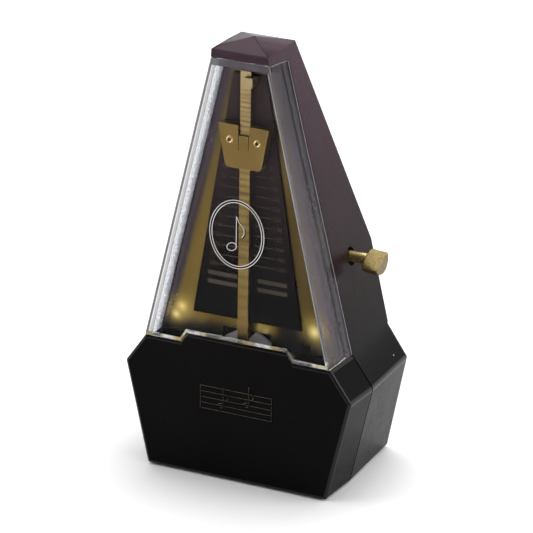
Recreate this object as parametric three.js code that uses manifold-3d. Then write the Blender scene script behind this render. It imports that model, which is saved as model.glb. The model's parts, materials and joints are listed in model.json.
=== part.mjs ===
// Pyramid metronome with a lift-off clear cover, a sliding-weight pendulum and a spring-driven movement.
// Units are millimetres. +Z is up, -Y is the front, +X is the side of the winding key.
// The origin is the centre of the footprint, on the surface that the metronome stands on.
import * as THREE from 'three';
import { mergeVertices } from 'three/addons/utils/BufferGeometryUtils.js';
import Module from 'manifold-3d';

const wasm = await Module();
wasm.setup();

// ---- casing: driving dimensions --------------------------------------------------------------
const SEAM_Y = -8.65; // plane where the front parts meet the rear shell, the widest outline
const WALL = 2.0;
const FIT_GAP = 0.1;
const SEAT_GAP = 0.05; // between a screw's head and its seat
const FOOT_LIFT = 0.5;
// Levels from the bottom up: half-width at the seam, depth ahead of the seam, depth behind it.
const LEVELS = [
  { z: FOOT_LIFT, half: 35.74, front: 17.6, rear: 34.9 },
  { z: 37.76, half: 44.72, front: 16.46, rear: 31.93 },
  { z: 48.8, half: 36.73, front: 16.45, rear: 32.53 },
  { z: 79.1, half: 29.48, front: 15.34, rear: 33.35 },
  { z: 157.07, half: 10.84, front: 12.49, rear: 8.31 },
];
const SHOULDER_Z = 48.8;
const APEX = { y: -10.74, z: 160, half: 0.15 };
const FRONT_DRAFT = 0.026; // loss of half-width for each mm ahead of the seam
const REAR_DRAFT = 0.065; // the same behind it
const SKIRT = { frontZ: 153.94, seamZ: 152.87, frontY: -21.2 };
const CAVITY_TOP = 152.4;
const TONGUE = { bottomHalf: 21.8, topHalf: 19.0, height: 3.5 };
const DECK = { width: 1.5, thickness: 1.5 };
const COVER_RIM = { bottomZ: 150.4, backY: -18.2 };
const COVER_LIP = { fromY: -12, wall: 1.2 };
const RIM_TAB = { x: 6.6, radius: 3.2, drop: 1.3, thickness: 1.6 };
const KEY_HOLE_RADIUS = 3.25;

// ---- pendulum: a frame that leans back with the front of the casing ----------------------------
const PIVOT = new THREE.Vector3(0, -19.45, 46);
const LEAN = 0.03657;
const ROD = { half: 2.0, thick: 1.2, top: 103.6, bottom: -32 };
const NOTCH = { first: 95.0, count: 24, pitch: 2.1, growth: 0.0591, depth: 0.25, width: 0.9 };
const ARBOR_RADIUS = 1.0;
const BOB = { radius: 13.0, front: -2.4, back: 4.4, z: -21.0 };
const SLIDER = {
  top: 84.0,
  height: 15.3,
  topHalf: 9.65,
  bottomHalf: 6.75,
  corner: 1.5,
  thick: 1.0,
  rearThick: 0.8,
  gap: 0.15,
};
const SLIDER_NOTCH = { half: 2.2, depth: 3.6 };
const SLIDER_SLIT = { x: 1.95, width: 0.32, bottom: 9.0 };
const EYELET = { x: 5.3, below: 5.4, flange: 1.45, barrel: 1.0, hole: 0.65, lip: 0.4 };
const TRAY = { bottomHalf: 33.75, slope: 0.2395, bottom: 3.7, top: 103.6, front: 2.2, floor: 3.45 };
const TRAY_WALL = 1.2;
const TRAY_RIM = { width: 0.6, slope: 0.9, drop: 0.75 };
const TRAY_SKIRT = { inset: 6.0, top: 98, back: 8.0 };
const TRAY_SLOT = { half: 9.5, top: 8.2 };
const SCALE = { bottom: 12, top: 101.6, bottomHalf: 21.2, topHalf: 6.4, front: 2.6, thick: 0.8 };
const CATCH = { z: 97.9, height: 3.6, wall: 0.9, clear: 0.35, reach: 2.0 };

// ---- movement ---------------------------------------------------------------------------------
const PLATE = { inner: 16.25, thick: 1.5 };
const MODULE = 0.6;
const GREAT_TEETH = 42;
const SECOND_PINION_TEETH = 14;
const SECOND_TEETH = 42;
const ESCAPE_PINION_TEETH = 16;
const CROWN = { teeth: 15, radius: 8.0, wall: 1.0, tipX: 3.4, backX: 7.6, toothDepth: 2.0 };
const KEY_AXIS = { y: 6.24, z: 79.0 };
const KEY_ARBOR_RADIUS = 2.0;
const RUNNING = 0.07; // radial clearance of every shaft in its hole
const KEY_HEAD = { radius: 4.8, from: 34.8, to: 40.7, dome: 2.1, turn: 0.445 };
const SPRING = { inner: 4.6, outer: 12.4, turns: 6, thick: 0.45, from: -13.2, to: -4.2 };
const RATCHET = { teeth: 20, root: 5.2, tip: 6.1, from: -1.6, to: -0.1 };
const PILLARS = [
  { name: 'pillar_top_front', y: -5, z: 94 },
  { name: 'pillar_top_rear', y: 12.4, z: 94.6 },
  { name: 'pillar_bottom_front', y: -6, z: 33 },
  { name: 'pillar_bottom_rear', y: 15, z: 33 },
];
const PILLAR_RADIUS = 1.9;
const FLANGE = { reach: 26, fromY: -4, toY: 12, z: 5.0, thick: 1.5, screwX: 22, screwY: 4 };
const FEET = [
  { name: 'foot_front_left', x: -20, y: -18 },
  { name: 'foot_front_right', x: 20, y: -18 },
  { name: 'foot_rear_left', x: -17, y: 18 },
  { name: 'foot_rear_right', x: 17, y: 18 },
];
const FOOT = { radius: 4.5, height: 1.15 };
const BASE = { top: 2.5, gap: 0.25 };
const BASE_SCREWS = [
  { name: 'base_screw_front_left', x: -30, y: -21 },
  { name: 'base_screw_front_right', x: 30, y: -21 },
  { name: 'base_screw_rear_left', x: -27, y: 20.5 },
  { name: 'base_screw_rear_right', x: 27, y: 20.5 },
];
const BASE_SCREW_SEAT = 1.9;
const BOSS = { radius: 4.0, top: 11 };
const CASE_SCREW = { x: 31.5, z: 18, boss: 3.6, seatY: 4 };

// ---- colours ----------------------------------------------------------------------------------
const finish = (color, roughness, metalness) => ({ color, roughness, metalness });
const BLACK_PLASTIC = finish(0x1b1a1a, 0.45, 0);
const CLEAR_PLASTIC = finish(0xdfe6ee, 0.1, 0);
const GOLD_PLASTIC = finish(0xb8963e, 0.35, 0.8);
const DIAL_BLACK = finish(0x141312, 0.5, 0);
const BRASS = finish(0xb8974f, 0.35, 0.9);
const STEEL = finish(0x8f9296, 0.35, 0.9);
const SPRING_STEEL = finish(0x5d6470, 0.3, 0.9);
const ZINC = finish(0xb9bab8, 0.5, 0.7);
const RUBBER = finish(0x222222, 0.9, 0);

// ---- solids -----------------------------------------------------------------------------------
const metronome = new THREE.Group();
const tilted = new THREE.Group();
tilted.position.copy(PIVOT);
tilted.rotation.x = -LEAN;
metronome.add(tilted);

function toSolid(geometry) {
  const plain = geometry.clone();
  plain.deleteAttribute('normal');
  plain.deleteAttribute('uv');
  const merged = mergeVertices(plain, 1e-4);
  const vertProperties = new Float32Array(merged.attributes.position.array);
  const triVerts = new Uint32Array(merged.index.array);
  return new wasm.Manifold(new wasm.Mesh({ numProp: 3, vertProperties, triVerts }));
}

function toGeometry(solid) {
  const mesh = solid.getMesh();
  const geometry = new THREE.BufferGeometry();
  geometry.setAttribute('position', new THREE.Float32BufferAttribute(mesh.vertProperties, 3));
  geometry.setIndex(new THREE.Uint32BufferAttribute(mesh.triVerts, 1));
  return geometry;
}

function addPiece(name, shape, look, parent = metronome) {
  const geometry = shape.isBufferGeometry ? shape : toGeometry(shape);
  const mesh = new THREE.Mesh(geometry, new THREE.MeshStandardMaterial(look));
  mesh.name = name;
  parent.add(mesh);
  return mesh;
}

function block(x0, x1, y0, y1, z0, z1) {
  const geometry = new THREE.BoxGeometry(x1 - x0, y1 - y0, z1 - z0);
  geometry.translate((x0 + x1) / 2, (y0 + y1) / 2, (z0 + z1) / 2);
  return toSolid(geometry);
}

const X_AXIS = new THREE.Vector3(1, 0, 0);
const Y_AXIS = new THREE.Vector3(0, 1, 0);
const Z_AXIS = new THREE.Vector3(0, 0, 1);

// Bases that carry a flat outline (u, v) and its thickness w onto the row axes.
const ACROSS_X = new THREE.Matrix4().makeBasis(Y_AXIS, Z_AXIS, X_AXIS);
const ACROSS_Y = new THREE.Matrix4().makeBasis(X_AXIS, Z_AXIS, Y_AXIS.clone().negate());

function extrudeAlongX(shape, from, to) {
  const settings = { depth: to - from, bevelEnabled: false, curveSegments: 6 };
  const geometry = new THREE.ExtrudeGeometry(shape, settings);
  geometry.translate(0, 0, from);
  geometry.applyMatrix4(ACROSS_X);
  return toSolid(geometry);
}

function extrudeAlongY(shape, from, to, bevel = {}) {
  const settings = { depth: to - from, bevelEnabled: false, curveSegments: 6, ...bevel };
  const geometry = new THREE.ExtrudeGeometry(shape, settings);
  geometry.translate(0, 0, -to);
  geometry.applyMatrix4(ACROSS_Y);
  return toSolid(geometry);
}

const polygon = (points) => new THREE.Shape(points.map(([u, v]) => new THREE.Vector2(u, v)));

// Turned solid: profile points are (radius, distance along the axis), starting and ending on the axis
// or closed on themselves. The axis starts as +Y and is turned onto the one asked for.
function turned(profile, axis, segments = 20) {
  const points = profile.map(([radius, along]) => new THREE.Vector2(radius, along));
  const geometry = new THREE.LatheGeometry(points, segments);
  if (axis === 'x') geometry.rotateZ(-Math.PI / 2);
  if (axis === 'z') geometry.rotateX(Math.PI / 2);
  const solid = toSolid(geometry);
  return solid.volume() < 0 ? toSolid(flipped(geometry)) : solid;
}

function flipped(geometry) {
  const copy = geometry.clone();
  const index = copy.index.array;
  for (let i = 0; i < index.length; i += 3) {
    [index[i], index[i + 1]] = [index[i + 1], index[i]];
  }
  return copy;
}

const rod = (radius, from, to, axis, segments) =>
  turned([[0, from], [radius, from], [radius, to], [0, to]], axis, segments);

const ring = (bore, radius, from, to, axis, segments) =>
  turned([[bore, from], [radius, from], [radius, to], [bore, to], [bore, from]], axis, segments);

// Closed solid through a stack of rings that all have the same number of points.
function loft(rings) {
  const count = rings[0].length;
  const geometry = new THREE.BufferGeometry();
  geometry.setAttribute('position', new THREE.Float32BufferAttribute(rings.flat(2), 3));
  const index = [];
  for (let level = 0; level + 1 < rings.length; level += 1) {
    for (let i = 0; i < count; i += 1) {
      const a = level * count + i;
      const b = level * count + ((i + 1) % count);
      index.push(a, b, b + count, a, b + count, a + count);
    }
  }
  const last = (rings.length - 1) * count;
  for (let i = 1; i + 1 < count; i += 1) {
    index.push(0, i + 1, i);
    index.push(last, last + i, last + i + 1);
  }
  geometry.setIndex(index);
  return toSolid(geometry);
}

// ---- casing shape -----------------------------------------------------------------------------
function casingLevel(z) {
  const upper = Math.max(1, LEVELS.findIndex((level) => level.z >= z - 1e-9));
  const high = LEVELS[upper === 0 ? 1 : upper] ?? LEVELS.at(-1);
  const low = LEVELS[LEVELS.indexOf(high) - 1];
  const t = (z - low.z) / (high.z - low.z);
  const mix = (key) => low[key] + (high[key] - low[key]) * t;
  return { half: mix('half'), front: mix('front'), rear: mix('rear') };
}

function casingRing(z, inset, atZ = z) {
  const { half, front, rear } = casingLevel(z);
  const side = half - inset * 1.08;
  const frontDepth = front - inset;
  const rearDepth = rear - inset;
  const frontHalf = side - FRONT_DRAFT * frontDepth;
  const rearHalf = side - REAR_DRAFT * rearDepth;
  return [
    [-frontHalf, SEAM_Y - frontDepth, atZ],
    [frontHalf, SEAM_Y - frontDepth, atZ],
    [side, SEAM_Y, atZ],
    [rearHalf, SEAM_Y + rearDepth, atZ],
    [-rearHalf, SEAM_Y + rearDepth, atZ],
    [-side, SEAM_Y, atZ],
  ];
}

function casingOutside() {
  const rings = LEVELS.map((level) => casingRing(level.z, 0));
  const { y, z, half } = APEX;
  rings.push([
    [-half, y - half, z],
    [half, y - half, z],
    [half, y, z],
    [half, y + half, z],
    [-half, y + half, z],
    [-half, y, z],
  ]);
  return loft(rings);
}

// The same shape set back by a wall, between two heights.
function casingInside(inset, bottom, top) {
  const rings = [casingRing(Math.max(bottom, FOOT_LIFT), inset, bottom)];
  for (const level of LEVELS) {
    if (level.z > bottom + 1 && level.z < top - 1) rings.push(casingRing(level.z, inset));
  }
  rings.push(casingRing(top, inset));
  return loft(rings);
}

const outside = casingOutside();
const BIG = 120;
const behindSeam = block(-BIG, BIG, SEAM_Y, BIG, -BIG, 2 * BIG);
const aheadOfSeam = block(-BIG, BIG, -BIG, SEAM_Y, -BIG, 2 * BIG);

// Everything above the sloping lower edge of the cap's skirt, lowered by a gap.
function aboveSkirt(lower) {
  const slope = (SKIRT.seamZ - SKIRT.frontZ) / (SEAM_Y - SKIRT.frontY);
  const zAt = (y) => SKIRT.frontZ - lower + slope * (y - SKIRT.frontY);
  const back = SEAM_Y + 5;
  const outline = polygon([[-30, zAt(-30)], [back, zAt(back)], [back, 170], [-30, 170]]);
  return extrudeAlongX(outline, -BIG, BIG);
}

function tonguePrism(grow) {
  const { bottomHalf, topHalf, height } = TONGUE;
  const outline = polygon([
    [-bottomHalf - grow, SHOULDER_Z - 1],
    [bottomHalf + grow, SHOULDER_Z - 1],
    [bottomHalf + grow, SHOULDER_Z],
    [topHalf + grow, SHOULDER_Z + height + grow],
    [-topHalf - grow, SHOULDER_Z + height + grow],
    [-bottomHalf - grow, SHOULDER_Z],
  ]);
  return extrudeAlongY(outline, -30, -20);
}

const caseBossFront = (side) =>
  rod(CASE_SCREW.boss, -24.5, SEAM_Y, 'y').translate(side * CASE_SCREW.x, 0, CASE_SCREW.z);

function makeFrontShell() {
  let shell = outside.intersect(aheadOfSeam).intersect(block(-BIG, BIG, -BIG, BIG, 0, SHOULDER_Z));
  shell = shell.subtract(casingInside(WALL, -1, SHOULDER_Z - DECK.thickness));
  shell = shell.subtract(casingInside(WALL + DECK.width, 40, 60));
  const frontWall = outside.subtract(casingInside(WALL, 30, 70));
  shell = shell.add(tonguePrism(0).intersect(frontWall));
  for (const place of BASE_SCREWS.slice(0, 2)) {
    shell = shell.add(bossFor(place).intersect(outside));
    shell = shell.subtract(bossHole(place));
  }
  for (const side of [-1, 1]) {
    shell = shell.add(caseBossFront(side));
    const thread = rod(1.3, -17, SEAM_Y + 1, 'y');
    shell = shell.subtract(thread.translate(side * CASE_SCREW.x, 0, CASE_SCREW.z));
  }
  return shell;
}

const bossFor = ({ x, y }) => rod(BOSS.radius, BASE.top + FIT_GAP, BOSS.top, 'z').translate(x, y, 0);
const bossHole = ({ x, y }) => rod(1.25, BASE.top - 1, BOSS.top - 1.5, 'z', 12).translate(x, y, 0);

function makeRearShell() {
  const region = behindSeam.add(aboveSkirt(0));
  let shell = outside.intersect(region);
  const cavity = casingInside(WALL, -1, CAVITY_TOP);
  shell = shell.subtract(cavity.intersect(block(-BIG, BIG, SEAM_Y - 1, BIG, -BIG, BIG * 2)));
  for (const place of BASE_SCREWS.slice(2)) {
    shell = shell.add(bossFor(place).intersect(outside));
    shell = shell.subtract(bossHole(place));
  }
  for (const side of [-1, 1]) {
    const at = [side * CASE_SCREW.x, 0, CASE_SCREW.z];
    shell = shell.add(rod(CASE_SCREW.boss, SEAM_Y, 24.2, 'y').translate(...at));
    shell = shell.subtract(rod(1.35, SEAM_Y - 1, 10, 'y').translate(...at));
    shell = shell.subtract(rod(2.8, CASE_SCREW.seatY, 40, 'y').translate(...at));
  }
  const keyHole = rod(KEY_HOLE_RADIUS, 20, 40, 'x', 32).translate(0, KEY_AXIS.y, KEY_AXIS.z);
  return shell.subtract(keyHole);
}

function makeClearCover() {
  let cover = outside.intersect(aheadOfSeam);
  cover = cover.intersect(block(-BIG, BIG, -BIG, BIG, SHOULDER_Z + FIT_GAP, 170));
  cover = cover.subtract(aboveSkirt(FIT_GAP));
  cover = cover.subtract(casingInside(WALL, 40, COVER_RIM.bottomZ));
  const behindRim = block(-BIG, BIG, COVER_RIM.backY, 0, COVER_RIM.bottomZ - 1, 170);
  cover = cover.subtract(casingInside(WALL, 140, 156).intersect(behindRim));
  const thinned = block(-BIG, BIG, COVER_LIP.fromY, 0, 0, 170);
  cover = cover.subtract(casingInside(COVER_LIP.wall, 40, 156).intersect(thinned));
  cover = cover.subtract(tonguePrism(FIT_GAP));
  return cover.add(makeRimTab());
}

// Half-round finger tab that hangs from the cover's rim beside the pendulum.
function makeRimTab() {
  const { x, radius, drop, thickness } = RIM_TAB;
  const outline = new THREE.Shape();
  outline.moveTo(x - radius, COVER_RIM.bottomZ + 1);
  outline.lineTo(x - radius, COVER_RIM.bottomZ);
  outline.quadraticCurveTo(x, COVER_RIM.bottomZ - 2 * drop, x + radius, COVER_RIM.bottomZ);
  outline.lineTo(x + radius, COVER_RIM.bottomZ + 1);
  return extrudeAlongY(outline, COVER_RIM.backY - thickness, COVER_RIM.backY);
}

addPiece('front_shell', makeFrontShell(), BLACK_PLASTIC);
addPiece('rear_shell', makeRearShell(), BLACK_PLASTIC);
addPiece('clear_cover', makeClearCover(), CLEAR_PLASTIC);

// ---- base -------------------------------------------------------------------------------------
function makeBasePlate() {
  const inset = WALL + BASE.gap;
  const lowRing = casingRing(FOOT_LIFT, inset, FOOT_LIFT);
  const highRing = casingRing(FOOT_LIFT, inset, BASE.top);
  let plate = loft([lowRing, highRing]);
  for (const { x, y } of FEET) {
    plate = plate.subtract(rod(FOOT.radius + 0.2, -1, FOOT.height + 0.05, 'z', 20).translate(x, y, 0));
  }
  for (const { x, y } of BASE_SCREWS) {
    plate = plate.subtract(rod(1.3, -1, 5, 'z', 12).translate(x, y, 0));
    plate = plate.subtract(rod(2.5, -1, BASE_SCREW_SEAT, 'z', 16).translate(x, y, 0));
  }
  for (const side of [-1, 1]) {
    const at = [side * FLANGE.screwX, FLANGE.screwY, 0];
    plate = plate.add(rod(3.2, 1.5, FLANGE.z, 'z').translate(...at));
    plate = plate.subtract(rod(1.1, 1.6, FLANGE.z + 1, 'z', 12).translate(...at));
  }
  return plate;
}

// Slotted cheese-head screw. It points down its axis from the head's seat at zero.
function makeScrew({ head, headHeight, shank, length }) {
  const profile = [
    [0, -length],
    [shank * 0.6, -length],
    [shank, -length + shank * 0.6],
    [shank, 0],
    [head, 0],
    [head, headHeight],
    [0, headHeight],
  ];
  const slot = block(-head - 1, head + 1, -head * 0.14, head * 0.14, headHeight * 0.5, headHeight + 1);
  return turned(profile, 'z', 12).subtract(slot);
}

function makeFoot() {
  const { radius, height } = FOOT;
  const edge = 0.4;
  return turned([[0, 0], [radius - edge, 0], [radius, edge], [radius, height], [0, height]], 'z', 20);
}

addPiece('base_plate', makeBasePlate(), BLACK_PLASTIC);
for (const { name, x, y } of FEET) {
  addPiece(name, makeFoot().translate(x, y, 0), RUBBER);
}
for (const { name, x, y } of BASE_SCREWS) {
  const screw = makeScrew({ head: 2.3, headHeight: 1.1, shank: 1.15, length: 7 });
  addPiece(name, screw.rotate([180, 0, 0]).translate(x, y, BASE_SCREW_SEAT - SEAT_GAP), STEEL);
}
for (const [name, side] of [['case_screw_left', -1], ['case_screw_right', 1]]) {
  const screw = makeScrew({ head: 2.5, headHeight: 1.8, shank: 1.2, length: 19 });
  const seat = [side * CASE_SCREW.x, CASE_SCREW.seatY + SEAT_GAP, CASE_SCREW.z];
  addPiece(name, screw.rotate([-90, 0, 0]).translate(...seat), STEEL);
}

// ---- dial -------------------------------------------------------------------------------------
const trayHalf = (z) => TRAY.bottomHalf - TRAY.slope * (z - TRAY.bottom);

function trayOutline(inset, bottom, top) {
  return polygon([
    [-trayHalf(bottom) + inset, bottom],
    [trayHalf(bottom) - inset, bottom],
    [trayHalf(top) - inset, top],
    [-trayHalf(top) + inset, top],
  ]);
}

// One ring of the dish: the outer outline set in by a margin, at a depth.
function dishRing(inset, y) {
  const bottom = TRAY.bottom + inset;
  const top = TRAY.top - inset;
  return [
    [-trayHalf(bottom) + inset, y, bottom],
    [trayHalf(bottom) - inset, y, bottom],
    [trayHalf(top) - inset, y, top],
    [-trayHalf(top) + inset, y, top],
  ];
}

// Shallow dish around the scale, low enough for the rod and its weight to swing across it.
function makeDialSurround() {
  const { front, floor } = TRAY;
  const { width, slope, drop } = TRAY_RIM;
  const back = floor + TRAY_WALL;
  let tray = extrudeAlongY(trayOutline(0, TRAY.bottom, TRAY.top), front, back);
  const gap = FIT_GAP;
  const seat = [
    [-SCALE.bottomHalf - gap, floor, SCALE.bottom - gap],
    [SCALE.bottomHalf + gap, floor, SCALE.bottom - gap],
    [SCALE.topHalf + gap, floor, SCALE.top + gap],
    [-SCALE.topHalf - gap, floor, SCALE.top + gap],
  ];
  const lip = dishRing(width, front);
  const open = lip.map(([x, y, z]) => [x, y - 1, z]);
  const bend = dishRing(width + slope, front + drop);
  tray = tray.subtract(loft([seat, bend, lip, open]));
  const { inset, top } = TRAY_SKIRT;
  const low = TRAY.bottom + inset;
  const skirt = extrudeAlongY(trayOutline(inset, low, top), back - 0.1, TRAY_SKIRT.back);
  const inner = trayOutline(inset + TRAY_WALL, low + TRAY_WALL, top - TRAY_WALL);
  tray = tray.add(skirt.subtract(extrudeAlongY(inner, back - 1, TRAY_SKIRT.back + 1)));
  const { half, top: slotTop } = TRAY_SLOT;
  return tray.subtract(block(-half, half, front - 1, back + 1, TRAY.bottom - 1, slotTop));
}

function makeScalePlate() {
  const { bottom, top, bottomHalf, topHalf, front, thick } = SCALE;
  const outline = polygon([
    [-bottomHalf, bottom],
    [bottomHalf, bottom],
    [topHalf, top],
    [-topHalf, top],
  ]);
  return extrudeAlongY(outline, front, front + thick);
}

// Hook that holds the top of the rod while the metronome is not in use. It is open towards -X.
function makeRodCatch() {
  const { wall, clear, reach } = CATCH;
  const right = ROD.half + clear;
  const face = ROD.thick / 2 + clear;
  const front = -face - wall;
  const back = SCALE.front - SEAT_GAP;
  const outline = polygon([
    [-reach, face],
    [right, face],
    [right, -face],
    [0, -face],
    [0, front],
    [right + wall, front],
    [right + wall, back],
    [-reach, back],
  ]);
  const geometry = new THREE.ExtrudeGeometry(outline, { depth: CATCH.height, bevelEnabled: false });
  geometry.translate(0, 0, CATCH.z);
  return toSolid(geometry);
}

addPiece('dial_surround', makeDialSurround(), GOLD_PLASTIC, tilted);
addPiece('scale_plate', makeScalePlate(), DIAL_BLACK, tilted);
addPiece('rod_catch', makeRodCatch(), GOLD_PLASTIC, tilted);

// ---- pendulum ---------------------------------------------------------------------------------
function makePendulumRod() {
  const front = -ROD.thick / 2;
  const back = ROD.thick / 2;
  const points = [[back, ROD.top], [front, ROD.top]];
  let z = NOTCH.first;
  for (let i = 0; i < NOTCH.count; i += 1) {
    points.push([front, z + NOTCH.width / 2]);
    points.push([front + NOTCH.depth, z]);
    points.push([front, z - NOTCH.width / 2]);
    z -= NOTCH.pitch + NOTCH.growth * i;
  }
  points.push([front, ROD.bottom], [back, ROD.bottom]);
  const strip = extrudeAlongX(polygon(points), -ROD.half, ROD.half);
  return strip.subtract(rod(ARBOR_RADIUS + RUNNING, -2, 2, 'y', 16));
}

function makeCounterweight() {
  const { radius, front, back, z } = BOB;
  const edge = 0.8;
  const profile = [
    [0, front],
    [radius - edge, front],
    [radius, front + edge],
    [radius, back - edge],
    [radius - edge, back],
    [0, back],
  ];
  const tunnelHalf = ROD.half + SLIDER.gap;
  const tunnelFace = ROD.thick / 2 + SLIDER.gap;
  const tunnel = block(-tunnelHalf, tunnelHalf, -tunnelFace, tunnelFace, -40, 0);
  return turned(profile, 'y', 36).translate(0, 0, z).subtract(tunnel);
}

const crownCentreY = 3;
const alongArbor = (y) => (y - PIVOT.y) / Math.cos(LEAN);
const ESCAPE_AXIS = { y: crownCentreY, z: PIVOT.z - Math.tan(LEAN) * (crownCentreY - PIVOT.y) };

function makePendulumArbor() {
  const rear = alongArbor(16.2);
  return turned([
    [0, -1.15],
    [1.5, -1.15],
    [1.8, -0.75],
    [ARBOR_RADIUS, -0.75],
    [ARBOR_RADIUS, rear - 0.3],
    [ARBOR_RADIUS - 0.3, rear],
    [0, rear],
  ], 'y', 20);
}

// Collar with a flag; the flag stops short of the crown wheel's teeth at every swing.
function makePallet(y, angle) {
  const collar = ring(ARBOR_RADIUS + 0.06, 1.9, -1.2, 1.2, 'y', 16);
  const flag = block(1.5, 3.0, -1.2, 1.2, -0.3, 0.3);
  return collar.add(flag.rotate([0, angle, 0])).translate(0, y, 0);
}

addPiece('pendulum_rod', makePendulumRod(), BRASS, tilted);
addPiece('rod_hub', ring(ARBOR_RADIUS + 0.06, 3.0, 0.7, 2.8, 'y', 24), BRASS, tilted);
addPiece('pendulum_arbor', makePendulumArbor(), STEEL, tilted);
addPiece('counterweight', makeCounterweight(), BRASS, tilted);
const palletReach = CROWN.radius - CROWN.wall / 2;
addPiece('pallet_front', makePallet(alongArbor(crownCentreY - palletReach), -50), STEEL, tilted);
addPiece('pallet_rear', makePallet(alongArbor(crownCentreY + palletReach), 50), STEEL, tilted);

// ---- sliding weight ---------------------------------------------------------------------------
function sliderOutline() {
  const { top, height, topHalf, bottomHalf, corner } = SLIDER;
  const bottom = top - height;
  const outline = new THREE.Shape();
  outline.moveTo(topHalf, top);
  outline.lineTo(-topHalf, top);
  outline.lineTo(-bottomHalf - corner * 0.25, bottom + corner);
  outline.quadraticCurveTo(-bottomHalf, bottom, -bottomHalf + corner, bottom);
  outline.lineTo(bottomHalf - corner, bottom);
  outline.quadraticCurveTo(bottomHalf, bottom, bottomHalf + corner * 0.25, bottom + corner);
  return outline;
}

function eyeletHoles() {
  const { x, below, barrel } = EYELET;
  const hole = rod(barrel + RUNNING, -5, 5, 'y', 16).translate(0, 0, SLIDER.top - below);
  return hole.translate(-x, 0, 0).add(hole.translate(x, 0, 0));
}

function makeSliderFront() {
  const face = ROD.thick / 2 + SLIDER.gap;
  let plate = extrudeAlongY(sliderOutline(), -face - SLIDER.thick, -face);
  const { half, depth } = SLIDER_NOTCH;
  plate = plate.subtract(block(-half, half, -5, 5, SLIDER.top - depth, SLIDER.top + 1));
  for (const side of [-1, 1]) {
    const x = side * SLIDER_SLIT.x;
    const { width, bottom } = SLIDER_SLIT;
    plate = plate.subtract(block(x - width / 2, x + width / 2, -5, 5, SLIDER.top - bottom, SLIDER.top));
  }
  return plate.subtract(eyeletHoles());
}

function makeSliderRear() {
  const face = ROD.thick / 2 + SLIDER.gap;
  return extrudeAlongY(sliderOutline(), face, face + SLIDER.rearThick).subtract(eyeletHoles());
}

// Tubular rivet: flanges outside both plates and a thicker waist that keeps them apart.
function makeEyelet() {
  const { flange, barrel, hole, lip } = EYELET;
  const face = ROD.thick / 2 + SLIDER.gap;
  const front = -face - SLIDER.thick - 0.05;
  const rear = face + SLIDER.rearThick + 0.05;
  return turned([
    [hole, front - lip * 0.6],
    [hole + 0.35, front - lip],
    [flange - 0.2, front - lip * 0.8],
    [flange, front],
    [barrel, front],
    [barrel, -face + 0.05],
    [flange, -face + 0.05],
    [flange, face - 0.05],
    [barrel, face - 0.05],
    [barrel, rear],
    [flange, rear],
    [flange - 0.2, rear + lip * 0.7],
    [hole, rear + lip * 0.7],
    [hole, front - lip * 0.6],
  ], 'y', 14);
}

addPiece('weight_front_plate', makeSliderFront(), BRASS, tilted);
addPiece('weight_rear_plate', makeSliderRear(), BRASS, tilted);
for (const [name, side] of [['weight_rivet_left', -1], ['weight_rivet_right', 1]]) {
  addPiece(name, makeEyelet().translate(side * EYELET.x, 0, SLIDER.top - EYELET.below), BRASS, tilted);
}

// ---- gears ------------------------------------------------------------------------------------
const PRESSURE = THREE.MathUtils.degToRad(25);
const BACKLASH = 0.13;
const involute = (angle) => Math.tan(angle) - angle;

// Stub involute outline with a tooth centred on the +u direction.
function gearOutline(teeth) {
  const pitch = (MODULE * teeth) / 2;
  const base = pitch * Math.cos(PRESSURE);
  const root = pitch - MODULE * 1.05;
  const tip = pitch + MODULE * 0.75;
  const radii = root > base ? [root, tip] : [root, base + 0.02, pitch, tip];
  const halfAt = (radius) => {
    const angle = Math.acos(Math.min(1, base / Math.max(radius, base)));
    return Math.PI / (2 * teeth) - BACKLASH / (2 * pitch) + involute(PRESSURE) - involute(angle);
  };
  const points = [];
  for (let tooth = 0; tooth < teeth; tooth += 1) {
    const centre = (tooth * 2 * Math.PI) / teeth;
    for (const radius of radii) points.push([radius, centre - halfAt(radius)]);
    for (const radius of [...radii].reverse()) points.push([radius, centre + halfAt(radius)]);
  }
  return polygon(points.map(([r, a]) => [r * Math.cos(a), r * Math.sin(a)]));
}

const TO_DEGREES = 180 / Math.PI;

// Gear across X: `towards` is the angle, from +Y to +Z, at which a tooth stands.
function makeGear(teeth, from, to, bore, towards) {
  const wheel = extrudeAlongX(gearOutline(teeth), from, to);
  const hole = rod(bore, from - 1, to + 1, 'x', 20);
  return wheel.subtract(hole).rotate([towards * TO_DEGREES, 0, 0]);
}

// Round windows that lighten a wheel between its hub and its rim.
function lighten(wheel, count, at, radius, from, to) {
  let result = wheel;
  for (let i = 0; i < count; i += 1) {
    const window = rod(radius, from - 1, to + 1, 'x', 14).translate(0, at, 0);
    result = result.subtract(window.rotate([(360 * i) / count, 0, 0]));
  }
  return result;
}

const place = (solid, axis) => solid.translate(0, axis.y, axis.z);

// The second arbor sits where both pairs of wheels are in mesh.
function meshPoint(a, b, fromA, fromB) {
  const dy = b.y - a.y;
  const dz = b.z - a.z;
  const distance = Math.hypot(dy, dz);
  const along = (fromA ** 2 - fromB ** 2 + distance ** 2) / (2 * distance);
  const off = Math.sqrt(fromA ** 2 - along ** 2);
  return { y: a.y + (dy * along - dz * off) / distance, z: a.z + (dz * along + dy * off) / distance };
}

const centreDistance = (teethA, teethB) => (MODULE * (teethA + teethB)) / 2;
const SECOND_AXIS = meshPoint(
  KEY_AXIS,
  ESCAPE_AXIS,
  centreDistance(GREAT_TEETH, SECOND_PINION_TEETH),
  centreDistance(SECOND_TEETH, ESCAPE_PINION_TEETH),
);
const heading = (a, b) => Math.atan2(b.z - a.z, b.y - a.y);
const greatToSecond = heading(KEY_AXIS, SECOND_AXIS);
const secondToEscape = heading(SECOND_AXIS, ESCAPE_AXIS);
const halfTooth = (teeth) => Math.PI / teeth;

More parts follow.
